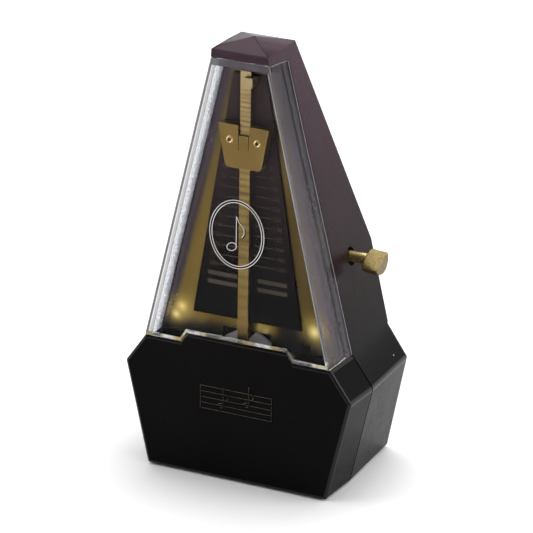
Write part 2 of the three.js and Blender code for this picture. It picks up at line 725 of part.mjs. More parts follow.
// ---- winding ----------------------------------------------------------------------------------
function makeWindingArbor() {
  const left = -PLATE.inner - PLATE.thick - 0.6;
  const right = 21;
  const bore = 1.3;
  return turned([
    [0, left],
    [KEY_ARBOR_RADIUS, left],
    [KEY_ARBOR_RADIUS, right],
    [bore, right],
    [bore, right - 4],
    [0, right - 4],
  ], 'x', 20);
}

function makeKeyShaft() {
  const stub = 1.2;
  const from = 21.1;
  return turned([
    [0, from - 3.5],
    [stub, from - 3.5],
    [stub, from],
    [KEY_ARBOR_RADIUS, from],
    [KEY_ARBOR_RADIUS, KEY_HEAD.from - 0.05],
    [0, KEY_HEAD.from - 0.05],
  ], 'x', 28);
}

// Thumb piece: half a cylinder whose front is domed beside the shaft and flat at the outer end.
function makeKeyHead() {
  const { radius, from, to, dome, turn } = KEY_HEAD;
  const steps = 14;
  const section = (x, bulge, scale) => {
    const points = [];
    for (let i = 0; i < steps; i += 1) {
      const angle = Math.PI + (i * Math.PI) / steps;
      points.push([x, radius * scale * Math.cos(angle), radius * scale * Math.sin(angle)]);
    }
    for (let i = 0; i < steps; i += 1) {
      const angle = (i * Math.PI) / steps;
      points.push([x, radius * scale * Math.cos(angle), bulge * scale * Math.sin(angle)]);
    }
    return points;
  };
  const length = to - from;
  const head = loft([
    section(from, dome * 0.9, 0.93),
    section(from + 0.4, dome, 1),
    section(from + length * 0.5, dome * 0.45, 1),
    section(to - 0.4, 0.05, 1),
    section(to, 0.02, 0.94),
  ]);
  return head.rotate([turn * TO_DEGREES, 0, 0]);
}

function ratchetOutline() {
  const points = [];
  for (let tooth = 0; tooth < RATCHET.teeth; tooth += 1) {
    const angle = (tooth * 2 * Math.PI) / RATCHET.teeth;
    points.push([RATCHET.tip * Math.cos(angle), RATCHET.tip * Math.sin(angle)]);
    points.push([RATCHET.root * Math.cos(angle + 0.03), RATCHET.root * Math.sin(angle + 0.03)]);
  }
  return polygon(points);
}

function makeClick() {
  const shape = new THREE.Shape();
  shape.absarc(0, 0, 1.5, Math.PI / 3, Math.PI * 1.5, false);
  shape.lineTo(4.6, -0.75);
  shape.lineTo(5.93, -1.42);
  shape.lineTo(6.0, -0.7);
  const body = extrudeAlongX(shape, RATCHET.from, RATCHET.to);
  return body.subtract(rod(0.8, -5, 5, 'x', 12));
}

const CLICK_AT = { y: -6.2, z: 7.0 };

function makeClickRivet() {
  return turned([
    [0, RATCHET.from - 0.6],
    [1.3, RATCHET.from - 0.6],
    [1.3, RATCHET.from - 0.05],
    [0.72, RATCHET.from - 0.05],
    [0.72, 2.4],
    [0, 2.4],
  ], 'x', 12);
}

// Bent wire that presses the click into the ratchet.
function makeClickSpring() {
  const path = new THREE.CatmullRomCurve3([
    new THREE.Vector3(0.05, -9.9, -3.2),
    new THREE.Vector3(-0.8, -10.0, -1.6),
    new THREE.Vector3(-0.85, -10.1, 2.4),
    new THREE.Vector3(-0.85, -8.3, 7.0),
  ]);
  const section = new THREE.Shape();
  section.absarc(0, 0, 0.3, 0, Math.PI * 2, false);
  const settings = { steps: 8, extrudePath: path, bevelEnabled: false, curveSegments: 3 };
  return toSolid(new THREE.ExtrudeGeometry(section, settings));
}

function makeMainspring() {
  const stepsPerTurn = 20;
  const steps = SPRING.turns * stepsPerTurn;
  const inner = [];
  const outer = [];
  for (let i = 0; i <= steps; i += 1) {
    const angle = (i * 2 * Math.PI) / stepsPerTurn;
    const radius = SPRING.inner + ((SPRING.outer - SPRING.inner) * i) / steps;
    inner.push([radius * Math.cos(angle), radius * Math.sin(angle)]);
    outer.push([(radius + SPRING.thick) * Math.cos(angle), (radius + SPRING.thick) * Math.sin(angle)]);
  }
  return extrudeAlongX(polygon([...outer, ...inner.reverse()]), SPRING.from, SPRING.to);
}

const GREAT = { from: 0.4, to: 2.0 };
const clickHole = rod(0.78, -5, 5, 'x', 12).translate(0, CLICK_AT.y, CLICK_AT.z);
const arborBore = KEY_ARBOR_RADIUS + 0.06;
const greatWheel = lighten(
  makeGear(GREAT_TEETH, GREAT.from, GREAT.to, arborBore, greatToSecond),
  4,
  7.4,
  2.0,
  GREAT.from,
  GREAT.to,
).subtract(clickHole);
const ratchetWheel = extrudeAlongX(ratchetOutline(), RATCHET.from, RATCHET.to)
  .subtract(rod(arborBore, -5, 5, 'x', 20));

addPiece('mainspring', place(makeMainspring(), KEY_AXIS), SPRING_STEEL);
addPiece('winding_arbor', place(makeWindingArbor(), KEY_AXIS), STEEL);
addPiece('great_wheel', place(greatWheel, KEY_AXIS), BRASS);
addPiece('ratchet_wheel', place(ratchetWheel, KEY_AXIS), STEEL);
const clickBody = makeClick().translate(0, CLICK_AT.y, CLICK_AT.z);
addPiece('click', place(clickBody, KEY_AXIS), STEEL);
addPiece('click_rivet', place(makeClickRivet().translate(0, CLICK_AT.y, CLICK_AT.z), KEY_AXIS), STEEL);
addPiece('click_spring', place(makeClickSpring(), KEY_AXIS), SPRING_STEEL);
addPiece('key_shaft', place(makeKeyShaft(), KEY_AXIS), BRASS);
addPiece('key_head', place(makeKeyHead(), KEY_AXIS), BRASS);

// ---- second arbor and escape arbor ------------------------------------------------------------
function makeArbor(radius, from, to) {
  return turned([
    [0, from],
    [radius - 0.2, from],
    [radius, from + 0.2],
    [radius, to - 0.2],
    [radius - 0.2, to],
    [0, to],
  ], 'x', 16);
}

// Crown wheel: a cup with saw teeth on its rim, pointing towards the pendulum's arbor.
function makeCrownWheel(bore) {
  const { radius, wall, tipX, backX, teeth } = CROWN;
  const disc = 1.0;
  const hub = 2.2;
  let cup = turned([
    [bore, backX],
    [radius, backX],
    [radius, tipX],
    [radius - wall, tipX],
    [radius - wall, backX - disc],
    [hub, backX - disc],
    [hub, backX - disc * 2],
    [bore, backX - disc * 2],
    [bore, backX],
  ], 'x', 30);
  const pitch = (2 * Math.PI * radius) / teeth;
  for (let i = 0; i < teeth; i += 1) {
    cup = cup.subtract(toothGap(pitch).rotate([(360 * i) / teeth, 0, 0]));
  }
  return cup;
}

// Wedge between two saw teeth, standing across the rim at the top of the wheel.
function toothGap(pitch) {
  const { radius, tipX, toothDepth } = CROWN;
  const gap = pitch * 0.86;
  const shape = polygon([[0, tipX + toothDepth], [0, tipX - 1], [gap, tipX - 1], [gap, tipX]]);
  const geometry = new THREE.ExtrudeGeometry(shape, { depth: 4, bevelEnabled: false });
  geometry.translate(0, 0, -radius - 1.5);
  geometry.applyMatrix4(new THREE.Matrix4().makeBasis(Y_AXIS, X_AXIS, Z_AXIS.clone().negate()));
  return toSolid(geometry);
}

const SECOND_ARBOR_RADIUS = 1.2;
const ESCAPE_ARBOR_RADIUS = 0.95;
const BETWEEN = { from: -PLATE.inner - PLATE.thick, to: PLATE.inner + PLATE.thick };
const secondBore = SECOND_ARBOR_RADIUS + 0.06;
const escapeBore = ESCAPE_ARBOR_RADIUS + 0.06;

const secondPinion = makeGear(
  SECOND_PINION_TEETH,
  GREAT.from - 0.8,
  GREAT.to + 0.8,
  secondBore,
  greatToSecond + Math.PI + halfTooth(SECOND_PINION_TEETH),
);
const SECOND = { from: 12.9, to: 14.2 };
const secondWheel = lighten(
  makeGear(SECOND_TEETH, SECOND.from, SECOND.to, secondBore, secondToEscape),
  5,
  6.8,
  2.4,
  SECOND.from,
  SECOND.to,
);
const escapePinion = makeGear(
  ESCAPE_PINION_TEETH,
  SECOND.from - 0.7,
  SECOND.to + 0.7,
  escapeBore,
  secondToEscape + Math.PI + halfTooth(ESCAPE_PINION_TEETH),
);

const secondArbor = makeArbor(SECOND_ARBOR_RADIUS, BETWEEN.from, BETWEEN.to);
const escapeArbor = makeArbor(ESCAPE_ARBOR_RADIUS, CROWN.backX - 2.2, BETWEEN.to);
addPiece('second_arbor', place(secondArbor, SECOND_AXIS), STEEL);
addPiece('second_pinion', place(secondPinion, SECOND_AXIS), STEEL);
addPiece('second_wheel', place(secondWheel, SECOND_AXIS), BRASS);
addPiece('escape_arbor', place(escapeArbor, ESCAPE_AXIS), STEEL);
addPiece('escape_pinion', place(escapePinion, ESCAPE_AXIS), STEEL);
addPiece('escape_wheel', place(makeCrownWheel(escapeBore), ESCAPE_AXIS), BRASS);

// ---- movement frame ---------------------------------------------------------------------------
const PLATE_OUTLINE = [
  [-8, 5],
  [14, 5],
  [18.5, 34],
  [18.5, 84],
  [14.5, 97.5],
  [-7, 97.5],
  [-9, 90],
  [-9, 51],
  [-14.4, 49],
  [-14.4, 37],
  [-8, 28],
];

function pillarHoles(from, to) {
  let holes = null;
  for (const axis of PILLARS) {
    const hole = place(rod(1.15, from, to, 'x', 12), axis);
    holes = holes ? holes.add(hole) : hole;
  }
  return holes;
}

const bearing = (radius, axis, from, to) =>
  place(rod(radius + RUNNING, from - 1, to + 1, 'x', 20), axis);

function makeMovementPlate(side) {
  const near = PLATE.inner;
  const far = PLATE.inner + PLATE.thick;
  const [from, to] = side > 0 ? [near, far] : [-far, -near];
  let plate = extrudeAlongX(polygon(PLATE_OUTLINE), from, to);
  const flange = { in: side * near, out: side * FLANGE.reach };
  const [x0, x1] = side > 0 ? [flange.in, flange.out] : [flange.out, flange.in];
  plate = plate.add(block(x0, x1, FLANGE.fromY, FLANGE.toY, FLANGE.z, FLANGE.z + FLANGE.thick));
  const screwHole = rod(1.2, 0, 10, 'z', 12).translate(side * FLANGE.screwX, FLANGE.screwY, 0);
  plate = plate.subtract(screwHole).subtract(pillarHoles(from - 1, to + 1));
  plate = plate.subtract(bearing(KEY_ARBOR_RADIUS, KEY_AXIS, from, to));
  plate = plate.subtract(bearing(SECOND_ARBOR_RADIUS, SECOND_AXIS, from, to));
  return side > 0 ? plate.subtract(bearing(ESCAPE_ARBOR_RADIUS, ESCAPE_AXIS, from, to)) : plate;
}

// Pillar with a riveted tenon in the left plate and a threaded hole for the screw at the right.
function makePillar() {
  const left = -PLATE.inner;
  const right = PLATE.inner;
  return turned([
    [0, left - PLATE.thick],
    [1.1, left - PLATE.thick],
    [1.1, left],
    [PILLAR_RADIUS, left],
    [PILLAR_RADIUS, right],
    [1.1, right],
    [1.1, right - 6],
    [0, right - 6],
  ], 'x', 16);
}

// Small bracket that carries the inner end of the escape arbor, fixed to the right plate.
function makeEscapeCock() {
  const { y, z } = ESCAPE_AXIS;
  const wallFrom = 9.2;
  const wallTo = 10.6;
  const wall = block(wallFrom, wallTo, y - 3.5, y + 3.5, z - 9, z + 3);
  const foot = block(wallFrom, PLATE.inner, y - 3.5, y + 3.5, z - 9, z - 7.4);
  return wall.add(foot).subtract(bearing(ESCAPE_ARBOR_RADIUS, ESCAPE_AXIS, wallFrom, wallTo));
}

// Front bearing of the pendulum's arbor. Its upper edge dips to a V behind the rod.
function makeFrontBridge() {
  const half = PLATE.inner + PLATE.thick;
  const outline = polygon([
    [-half, 41],
    [half, 41],
    [half, 47.5],
    [9, 49],
    [9, 50.5],
    [3.2, 54],
    [0, 50.5],
    [-3.2, 54],
    [-9, 50.5],
    [-9, 49],
    [-half, 47.5],
  ]);
  const bridge = extrudeAlongY(outline, -15.95, -14.45);
  return bridge.subtract(arborClearance());
}

const arborClearance = () =>
  rod(ARBOR_RADIUS + 0.12, 0, 40, 'y', 20)
    .rotate([-LEAN * TO_DEGREES, 0, 0])
    .translate(PIVOT.x, PIVOT.y, PIVOT.z);

function makeRearBridge() {
  const { z } = ESCAPE_AXIS;
  return block(-PLATE.inner, PLATE.inner, 13.6, 15.1, z - 4, z + 4).subtract(arborClearance());
}

addPiece('movement_plate_left', makeMovementPlate(-1), BRASS);
addPiece('movement_plate_right', makeMovementPlate(1), BRASS);
for (const axis of PILLARS) {
  addPiece(axis.name, place(makePillar(), axis), STEEL);
  const screw = makeScrew({ head: 2.1, headHeight: 1.1, shank: 1.05, length: 6.5 });
  const seat = PLATE.inner + PLATE.thick + SEAT_GAP;
  const screwName = axis.name.replace('pillar', 'pillar_screw');
  addPiece(screwName, place(screw.rotate([0, 90, 0]).translate(seat, 0, 0), axis), STEEL);
}
addPiece('escape_cock', makeEscapeCock(), BRASS);
addPiece('front_bridge', makeFrontBridge(), ZINC);
addPiece('rear_bridge', makeRearBridge(), BRASS);
for (const [name, side] of [['movement_screw_left', -1], ['movement_screw_right', 1]]) {
  const screw = makeScrew({ head: 2.3, headHeight: 1.2, shank: 1.0, length: 4.2 });
  const seat = FLANGE.z + FLANGE.thick + SEAT_GAP;
  addPiece(name, screw.translate(side * FLANGE.screwX, FLANGE.screwY, seat), STEEL);
}

export default metronome;
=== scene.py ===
"""Pyramid metronome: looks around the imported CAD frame. Metres; +Z is up, -Y is the front."""
import json
import math

import bmesh
import bpy
from mathutils import Matrix, Vector


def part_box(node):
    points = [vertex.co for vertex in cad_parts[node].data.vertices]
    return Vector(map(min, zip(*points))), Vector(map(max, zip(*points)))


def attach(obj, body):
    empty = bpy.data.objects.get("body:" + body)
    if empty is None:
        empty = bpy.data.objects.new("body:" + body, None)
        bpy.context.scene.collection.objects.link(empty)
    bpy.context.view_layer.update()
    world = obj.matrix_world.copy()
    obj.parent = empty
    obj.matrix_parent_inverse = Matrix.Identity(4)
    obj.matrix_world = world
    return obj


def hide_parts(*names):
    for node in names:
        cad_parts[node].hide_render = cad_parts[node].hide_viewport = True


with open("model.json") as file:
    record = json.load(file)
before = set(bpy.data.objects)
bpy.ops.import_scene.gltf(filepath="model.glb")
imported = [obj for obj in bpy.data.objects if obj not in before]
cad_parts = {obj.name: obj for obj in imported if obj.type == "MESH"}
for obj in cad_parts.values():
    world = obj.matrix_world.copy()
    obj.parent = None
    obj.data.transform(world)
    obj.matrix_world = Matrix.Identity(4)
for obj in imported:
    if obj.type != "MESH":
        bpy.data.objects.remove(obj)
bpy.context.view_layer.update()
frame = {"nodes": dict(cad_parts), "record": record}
NODES = frame["nodes"]
MM = 0.001

# ---- driving places -----------------------------------------------------------------------------
SEAM_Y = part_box("front_shell")[1].y  # joint between the two shells
SHOULDER_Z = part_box("clear_cover")[0].z  # foot of the cover
COVER_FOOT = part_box("clear_cover")[1].x  # half-width of the cover's foot
COVER_SLOPE = 0.2387  # loss of that half-width for each metre of height
COVER_FRONT_SLOPE = 0.0367  # lean back of the cover's front for each metre of height
COVER_REAR = max(
    vert.co.y for vert in NODES["clear_cover"].data.vertices if abs(vert.co.x) > COVER_FOOT - 2 * MM
)
TRAY_FOOT = 45.67 * MM  # half-width that the gold tray's edges would have at floor level
TRAY_SLOPE = 0.2395  # loss of that half-width for each metre of height
LEAN = 0.03657  # radians that the pendulum and the dial lean back by
PIVOT = Vector((0, -19.45, 46)) * MM  # of the pendulum
TILT = Matrix.Translation(PIVOT) @ Matrix.Rotation(-LEAN, 4, "X")  # upright to leaning place


# ---- materials ----------------------------------------------------------------------------------
class Nodes:
    """Small helper that adds shader nodes and links them."""

    def __init__(self, tree):
        self.tree = tree
        tree.nodes.clear()

    def add(self, kind, **settings):
        node = self.tree.nodes.new(kind)
        for name, value in settings.items():
            setattr(node, name, value)
        return node

    def link(self, source, target):
        self.tree.links.new(source, target)


def new_material(name):
    """Material with one Principled shader, joined to its output."""
    material = bpy.data.materials.new(name)
    material.use_nodes = True
    nodes = Nodes(material.node_tree)
    shader = nodes.add("ShaderNodeBsdfPrincipled")
    output = nodes.add("ShaderNodeOutputMaterial")
    nodes.link(shader.outputs[0], output.inputs[0])
    return material, nodes, shader, output


def coordinates(nodes, stretch=(1, 1, 1)):
    """Place on the piece in metres, stretched for a grain that runs one way."""
    place = nodes.add("ShaderNodeTexCoord")
    mapping = nodes.add("ShaderNodeMapping")
    mapping.inputs["Scale"].default_value = stretch
    nodes.link(place.outputs["Object"], mapping.inputs["Vector"])
    return mapping.outputs["Vector"]


def noise(nodes, vector, scale, detail=3.0):
    """Soft random value with about `scale` patches for each metre."""
    texture = nodes.add("ShaderNodeTexNoise")
    texture.inputs["Scale"].default_value = scale
    texture.inputs["Detail"].default_value = detail
    texture.inputs["Roughness"].default_value = 0.55
    nodes.link(vector, texture.inputs["Vector"])
    return texture.outputs["Fac"]


def spread(nodes, value, low, high, from_low=0.3, from_high=0.7):
    """Carries a texture's value onto a range."""
    ramp = nodes.add("ShaderNodeMapRange")
    ramp.inputs["From Min"].default_value = from_low
    ramp.inputs["From Max"].default_value = from_high
    ramp.inputs["To Min"].default_value = low
    ramp.inputs["To Max"].default_value = high
    nodes.link(value, ramp.inputs["Value"])
    return ramp.outputs["Result"]


def blend_colours(nodes, factor, first, second):
    """First colour where the factor is 0, second where it is 1."""
    mix = nodes.add("ShaderNodeMix", data_type="RGBA")
    for socket, colour in ((6, first), (7, second)):
        if isinstance(colour, tuple):
            mix.inputs[socket].default_value = (*colour, 1)
        else:
            nodes.link(colour, mix.inputs[socket])
    nodes.link(factor, mix.inputs[0])
    return mix.outputs[2]


def math_node(nodes, operation, first, second=0.0):
    """Result of one operation on numbers or sockets."""
    node = nodes.add("ShaderNodeMath", operation=operation)
    for socket, value in enumerate((first, second)):
        if isinstance(value, (int, float)):
            node.inputs[socket].default_value = value
        else:
            nodes.link(value, node.inputs[socket])
    return node.outputs[0]


def axis_value(nodes, axis):
    """Place along one axis of the piece, in metres."""
    split = nodes.add("ShaderNodeSeparateXYZ")
    nodes.link(coordinates(nodes), split.inputs[0])
    return split.outputs[axis]


def glow(nodes, place, radius):
    """1 at a place, fading to 0 at the radius."""
    away = nodes.add("ShaderNodeVectorMath", operation="DISTANCE")
    away.inputs[1].default_value = place
    nodes.link(coordinates(nodes), away.inputs[0])
    share = spread(nodes, away.outputs["Value"], 0, 1, 0, radius)
    fade = math_node(nodes, "SUBTRACT", 1.0, share)
    return math_node(nodes, "MULTIPLY", fade, fade)


def edge_distance(nodes, half_at_zero, slope):
    """Distance in from a pair of edges that close in as they rise."""
    loss = math_node(nodes, "MULTIPLY", axis_value(nodes, "Z"), slope)
    half = math_node(nodes, "SUBTRACT", half_at_zero, loss)
    return math_node(nodes, "SUBTRACT", half, math_node(nodes, "ABSOLUTE", axis_value(nodes, "X")))


def bump(nodes, height, strength, distance):
    """Normal of a surface that the height roughens."""
    node = nodes.add("ShaderNodeBump")
    node.inputs["Strength"].default_value = strength
    node.inputs["Distance"].default_value = distance
    nodes.link(height, node.inputs["Height"])
    return node.outputs["Normal"]


DUST_SCALE = 260  # cells per metre, each of which may hold one speck
DUST_COLOUR = (0.55, 0.53, 0.5)


def dusty(nodes, vector, colour, strength):
    """Sparse pale specks over a colour."""
    specks = nodes.add("ShaderNodeTexVoronoi", feature="F1")
    specks.inputs["Scale"].default_value = DUST_SCALE
    nodes.link(vector, specks.inputs["Vector"])
    near = spread(nodes, specks.outputs["Distance"], 1, 0, 0.06, 0.1)
    rare = spread(nodes, specks.outputs["Color"], 0, 1, 0.84, 0.85)
    speck = math_node(nodes, "MULTIPLY", near, rare)
    return blend_colours(nodes, math_node(nodes, "MULTIPLY", speck, strength), colour, DUST_COLOUR)


def surface(
    name,
    colours,
    rough,
    metallic=0.0,
    specular=0.5,
    patch_scale=60,
    grain_scale=3500,
    grain=0.1,
    grain_depth=0.03 * MM,
    stretch=(1, 1, 1),
    dust=0.0,
    sheen_tint=(1.0, 1.0, 1.0),
    paint=None,
):
    """Opaque finish: two colours in soft patches, uneven gloss, fine grain, and optional dust."""
    material, nodes, shader, _ = new_material(name)
    shader.inputs["Metallic"].default_value = metallic
    shader.inputs["Specular IOR Level"].default_value = specular
    shader.inputs["Specular Tint"].default_value = (*sheen_tint, 1)
    vector = coordinates(nodes)
    patches = noise(nodes, vector, patch_scale)
    colour = blend_colours(nodes, spread(nodes, patches, 0, 1), colours[0], colours[1])
    fine = noise(nodes, coordinates(nodes, stretch), grain_scale, detail=2.0)
    roughness = spread(nodes, noise(nodes, vector, patch_scale * 3), rough[0], rough[1])
    if dust:
        colour = dusty(nodes, vector, colour, dust)
    if paint:
        colour = paint(nodes, colour)
    nodes.link(colour, shader.inputs["Base Color"])
    nodes.link(roughness, shader.inputs["Roughness"])
    nodes.link(bump(nodes, fine, grain, grain_depth), shader.inputs["Normal"])
    return material


ACRYLIC_IOR = 1.49
SIDE_IOR = 1.25  # keeps the right wall clear where it is seen at a grazing angle
CLEAR_DEPTH = 0.05 * MM  # of the grain
CLEAR_PATCHES = 40  # for each metre
CLEAR_TINT = (0.94, 0.96, 0.99)
CLOUD_ROUGHNESS = 0.35


def clear_finish(
    name, roughness, grain, grain_scale, tint=(0.97, 0.98, 1.0), sheen=(0.1, 0.09, 0.09),
    veil=None, veil_colour=None, ior=ACRYLIC_IOR, through=0.0,
):
    """Clear moulded plastic, cloudy where `veil` says; `through` lets light into the cloud."""
    material, nodes, shader, output = new_material(name)
    shader.inputs["Transmission Weight"].default_value = 1.0
    shader.inputs["IOR"].default_value = ior
    shader.inputs["Specular Tint"].default_value = (*sheen, 1)
    vector = coordinates(nodes)
    patches = noise(nodes, vector, CLEAR_PATCHES)
    colour = blend_colours(nodes, spread(nodes, patches, 0, 1), tint, CLEAR_TINT)
    nodes.link(colour, shader.inputs["Base Color"])
    nodes.link(spread(nodes, patches, roughness[0], roughness[1]), shader.inputs["Roughness"])
    fine = noise(nodes, vector, grain_scale, detail=2.0)
    nodes.link(bump(nodes, fine, grain, CLEAR_DEPTH), shader.inputs["Normal"])
    if veil:
        cloudy = nodes.add("ShaderNodeBsdfPrincipled")
        back = nodes.add("ShaderNodeBsdfTranslucent")
        for socket in (cloudy.inputs["Base Color"], back.inputs["Color"]):
            if callable(veil_colour):
                nodes.link(veil_colour(nodes), socket)
            else:
                socket.default_value = (*veil_colour, 1)
        cloudy.inputs["Roughness"].default_value = CLOUD_ROUGHNESS
        both = nodes.add("ShaderNodeMixShader")
        both.inputs[0].default_value = through
        nodes.link(cloudy.outputs[0], both.inputs[1])
        nodes.link(back.outputs[0], both.inputs[2])
        mix = nodes.add("ShaderNodeMixShader")
        nodes.link(veil(nodes), mix.inputs[0])
        nodes.link(shader.outputs[0], mix.inputs[1])
        nodes.link(both.outputs[0], mix.inputs[2])
        nodes.link(mix.outputs[0], output.inputs[0])
    return material


# Painted sheen: colours that stand in for the reflected light on the upper case.
MID_PAINTED_SHEEN = (0.014, 0.0075, 0.008)
CAP_PAINTED_SHEEN = (0.055, 0.034, 0.044)


def case_paint(nodes, colour):
    """Deep black base, with painted sheen for reflected light: browner from mid height, paler
    purple towards the cap.
    """
    rise = spread(nodes, axis_value(nodes, "Z"), 0, 1, 60 * MM, 154 * MM)
    rise = math_node(nodes, "POWER", rise, 1.5)
    warm = spread(nodes, axis_value(nodes, "Z"), 0, 1, 48 * MM, 85 * MM)
    colour = blend_colours(nodes, warm, colour, MID_PAINTED_SHEEN)
    return blend_colours(nodes, rise, colour, CAP_PAINTED_SHEEN)


# Satin black with dust specks, its upper part given a painted sheen.
CASE_BLACK = surface(
    "case_black_moulded", ((0.0022, 0.0021, 0.0019), (0.0033, 0.0031, 0.0028)), (0.22, 0.3),
    specular=0.038, patch_scale=35, grain_scale=2600, grain=0.1, dust=0.6,
    sheen_tint=(1.0, 0.88, 0.92), paint=case_paint,
)
SEAM_BLACK = surface(
    "case_joint_groove", ((0.0003, 0.0003, 0.0003), (0.0005, 0.0005, 0.0005)), (0.8, 0.9),
    specular=0.0,
)
CASE_EDGE = surface(
    "case_black_edges", ((0.003, 0.0028, 0.0026), (0.005, 0.0046, 0.0043)), (0.2, 0.28),
    specular=0.22, grain_scale=2600,
)


def corner_distance(nodes):
    """Distance in from the cover's side edges."""
    return edge_distance(nodes, COVER_FOOT + COVER_SLOPE * SHOULDER_Z, COVER_SLOPE)


def solid_corner(nodes):
    """Where the painted look of the side wall's thickness lies over the front of the cover."""
    left = spread(nodes, corner_distance(nodes), 0.95, 0, 2.7 * MM, 3.3 * MM)
    right = spread(nodes, corner_distance(nodes), 0.5, 0, 1.45 * MM, 1.9 * MM)
    side = spread(nodes, axis_value(nodes, "X"), 0, 1, -MM, MM)  # 0 on the left, 1 on the right
    mix = nodes.add("ShaderNodeMix", data_type="FLOAT")
    for socket, value in ((0, side), (2, left), (3, right)):
        nodes.link(value, mix.inputs[socket])
    return mix.outputs[0]


def corner_colour(nodes):
    """Painted light and shade of the side wall seen through the front: grey darkening inwards as
    painted shade, a painted highlight line, then the pale look of the grained wall behind.
    """
    inwards = corner_distance(nodes)
    wall = spread(nodes, inwards, 0, 1, 0.1 * MM, 1.3 * MM)
    line = spread(nodes, inwards, 0, 1, 1.35 * MM, 1.55 * MM)
    beyond = spread(nodes, inwards, 0, 1, 1.8 * MM, 2.0 * MM)
    shade = blend_colours(nodes, wall, (0.3, 0.29, 0.3), (0.09, 0.085, 0.1))
    shade = blend_colours(nodes, line, shade, (0.95, 0.94, 0.95))
    return blend_colours(nodes, beyond, shade, (0.66, 0.65, 0.65))


VEIL_DEPTH = 6.8 * MM  # depth at which the left wall is as cloudy as it gets


def grained_depth(nodes):
    """Depth behind the sloping front of the cover, broken up by the grain."""
    rise = math_node(nodes, "SUBTRACT", axis_value(nodes, "Z"), SHOULDER_Z)
    back = math_node(nodes, "MULTIPLY", rise, COVER_FRONT_SLOPE)
    front = math_node(nodes, "ADD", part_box("clear_cover")[0].y, back)
    speckle = noise(nodes, coordinates(nodes), 1500, detail=1.0)
    speckle = spread(nodes, speckle, -2.4 * MM, 2.4 * MM)
    deep = math_node(nodes, "SUBTRACT", axis_value(nodes, "Y"), front)
    return math_node(nodes, "ADD", deep, speckle)


def grained_veil(nodes):
    """Clear at the front of the grained wall, cloudy behind."""
    return spread(nodes, grained_depth(nodes), 0.1, 0.96, 4.4 * MM, VEIL_DEPTH)


def grained_colour(nodes):
    """White frosting at the front of the grained wall, with painted shade that darkens it towards
    the inside of the case.
    """
    deeper = spread(nodes, grained_depth(nodes), 0, 1, VEIL_DEPTH, VEIL_DEPTH + 6 * MM)
    fade = math_node(nodes, "POWER", deeper, 0.55)
    return blend_colours(nodes, fade, (0.96, 0.94, 0.95), (0.13, 0.11, 0.13))


def side_colour(nodes):
    """Painted reflection: gold of the tray behind the front of the right wall, dull violet towards
    the rear.
    """
    back = spread(nodes, axis_value(nodes, "Y"), 0, 1, SEAM_Y - 13 * MM, SEAM_Y - 7 * MM)
    return blend_colours(nodes, back, (0.105, 0.078, 0.05), (0.06, 0.044, 0.062))


def rear_edge(nodes):
    """Painted highlight: a bright line along the rear of the cover's outer side."""
    depth = axis_value(nodes, "Y")
    return spread(nodes, depth, 0, 0.8, COVER_REAR - 0.5 * MM, COVER_REAR - 0.35 * MM)


def bar_colour(nodes):
    """Painted reflection: violet like the inside of the cap, paler at the left end."""
    inside = spread(nodes, axis_value(nodes, "X"), 0, 1, -9.0 * MM, -7.5 * MM)
    return blend_colours(nodes, inside, (0.2, 0.19, 0.2), (0.085, 0.068, 0.09))


def rim_gleam(nodes):
    """Gold and white gleams in turn along the cover's lower bead."""
    patches = spread(nodes, noise(nodes, coordinates(nodes), 170), 0, 1, 0.44, 0.56)
    return blend_colours(nodes, patches, (0.5, 0.38, 0.14), (0.85, 0.84, 0.82))


def cloud(scale, *levels):
    """Veil in soft patches; the levels are those of `spread`."""
    return lambda nodes: spread(nodes, noise(nodes, coordinates(nodes), scale), *levels)


CLEAR = clear_finish("clear_polished", roughness=(0.0, 0.012), grain=0.02, grain_scale=120)
# Outer right face: a pink tint that stands in for a violet reflection, and a painted highlight
# along its rear edge.
CLEAR_SIDE = clear_finish(
    "clear_side", roughness=(0.0, 0.02), grain=0.005, grain_scale=120,
    tint=(1.0, 0.93, 0.98), sheen=(0.12, 0.08, 0.1), veil=rear_edge,
    veil_colour=(0.5, 0.47, 0.52), ior=SIDE_IOR,
)
# Front faces, with painted light and shade over their side edges.
CLEAR_FRONT = clear_finish(
    "clear_front", roughness=(0.0, 0.012), grain=0.02, grain_scale=120,
    sheen=(0.01, 0.01, 0.01), veil=solid_corner, veil_colour=corner_colour,
)
CLEAR_EDGE = clear_finish(
    "clear_edges", roughness=(0.02, 0.08), grain=0.1, grain_scale=700, sheen=(1, 1, 1),
    veil=cloud(110, 0.0, 0.85, 0.46, 0.6), veil_colour=rim_gleam,
)
# Rounded edges of the cover, with soft grey-violet patches as painted highlights.
CLEAR_RIM = clear_finish(
    "clear_rim", roughness=(0.02, 0.08), grain=0.1, grain_scale=700, sheen=(1, 1, 1),
    veil=cloud(130, 0.06, 0.4), veil_colour=(0.3, 0.28, 0.33),
)
# Upper bead of the cover, coloured with a painted violet reflection.
CLEAR_BAR = clear_finish(
    "clear_bar", roughness=(0.02, 0.08), grain=0.1, grain_scale=700, sheen=(0.4, 0.38, 0.4),
    veil=cloud(200, 0.65, 0.95), veil_colour=bar_colour,
)
# Left inner wall: grained frosting, with painted shade towards the rear.
FROSTED_LEFT = clear_finish(
    "clear_grained_left", roughness=(0.2, 0.28), grain=0.3, grain_scale=2300,
    veil=grained_veil, veil_colour=grained_colour, through=0.5,
)
# Right inner wall, with a painted reflection of the gold tray.
FROSTED_RIGHT = clear_finish(
    "clear_grained_right", roughness=(0.08, 0.12), grain=0.05, grain_scale=2300,
    veil=cloud(60, 0.58, 0.64), veil_colour=side_colour, ior=SIDE_IOR,
)
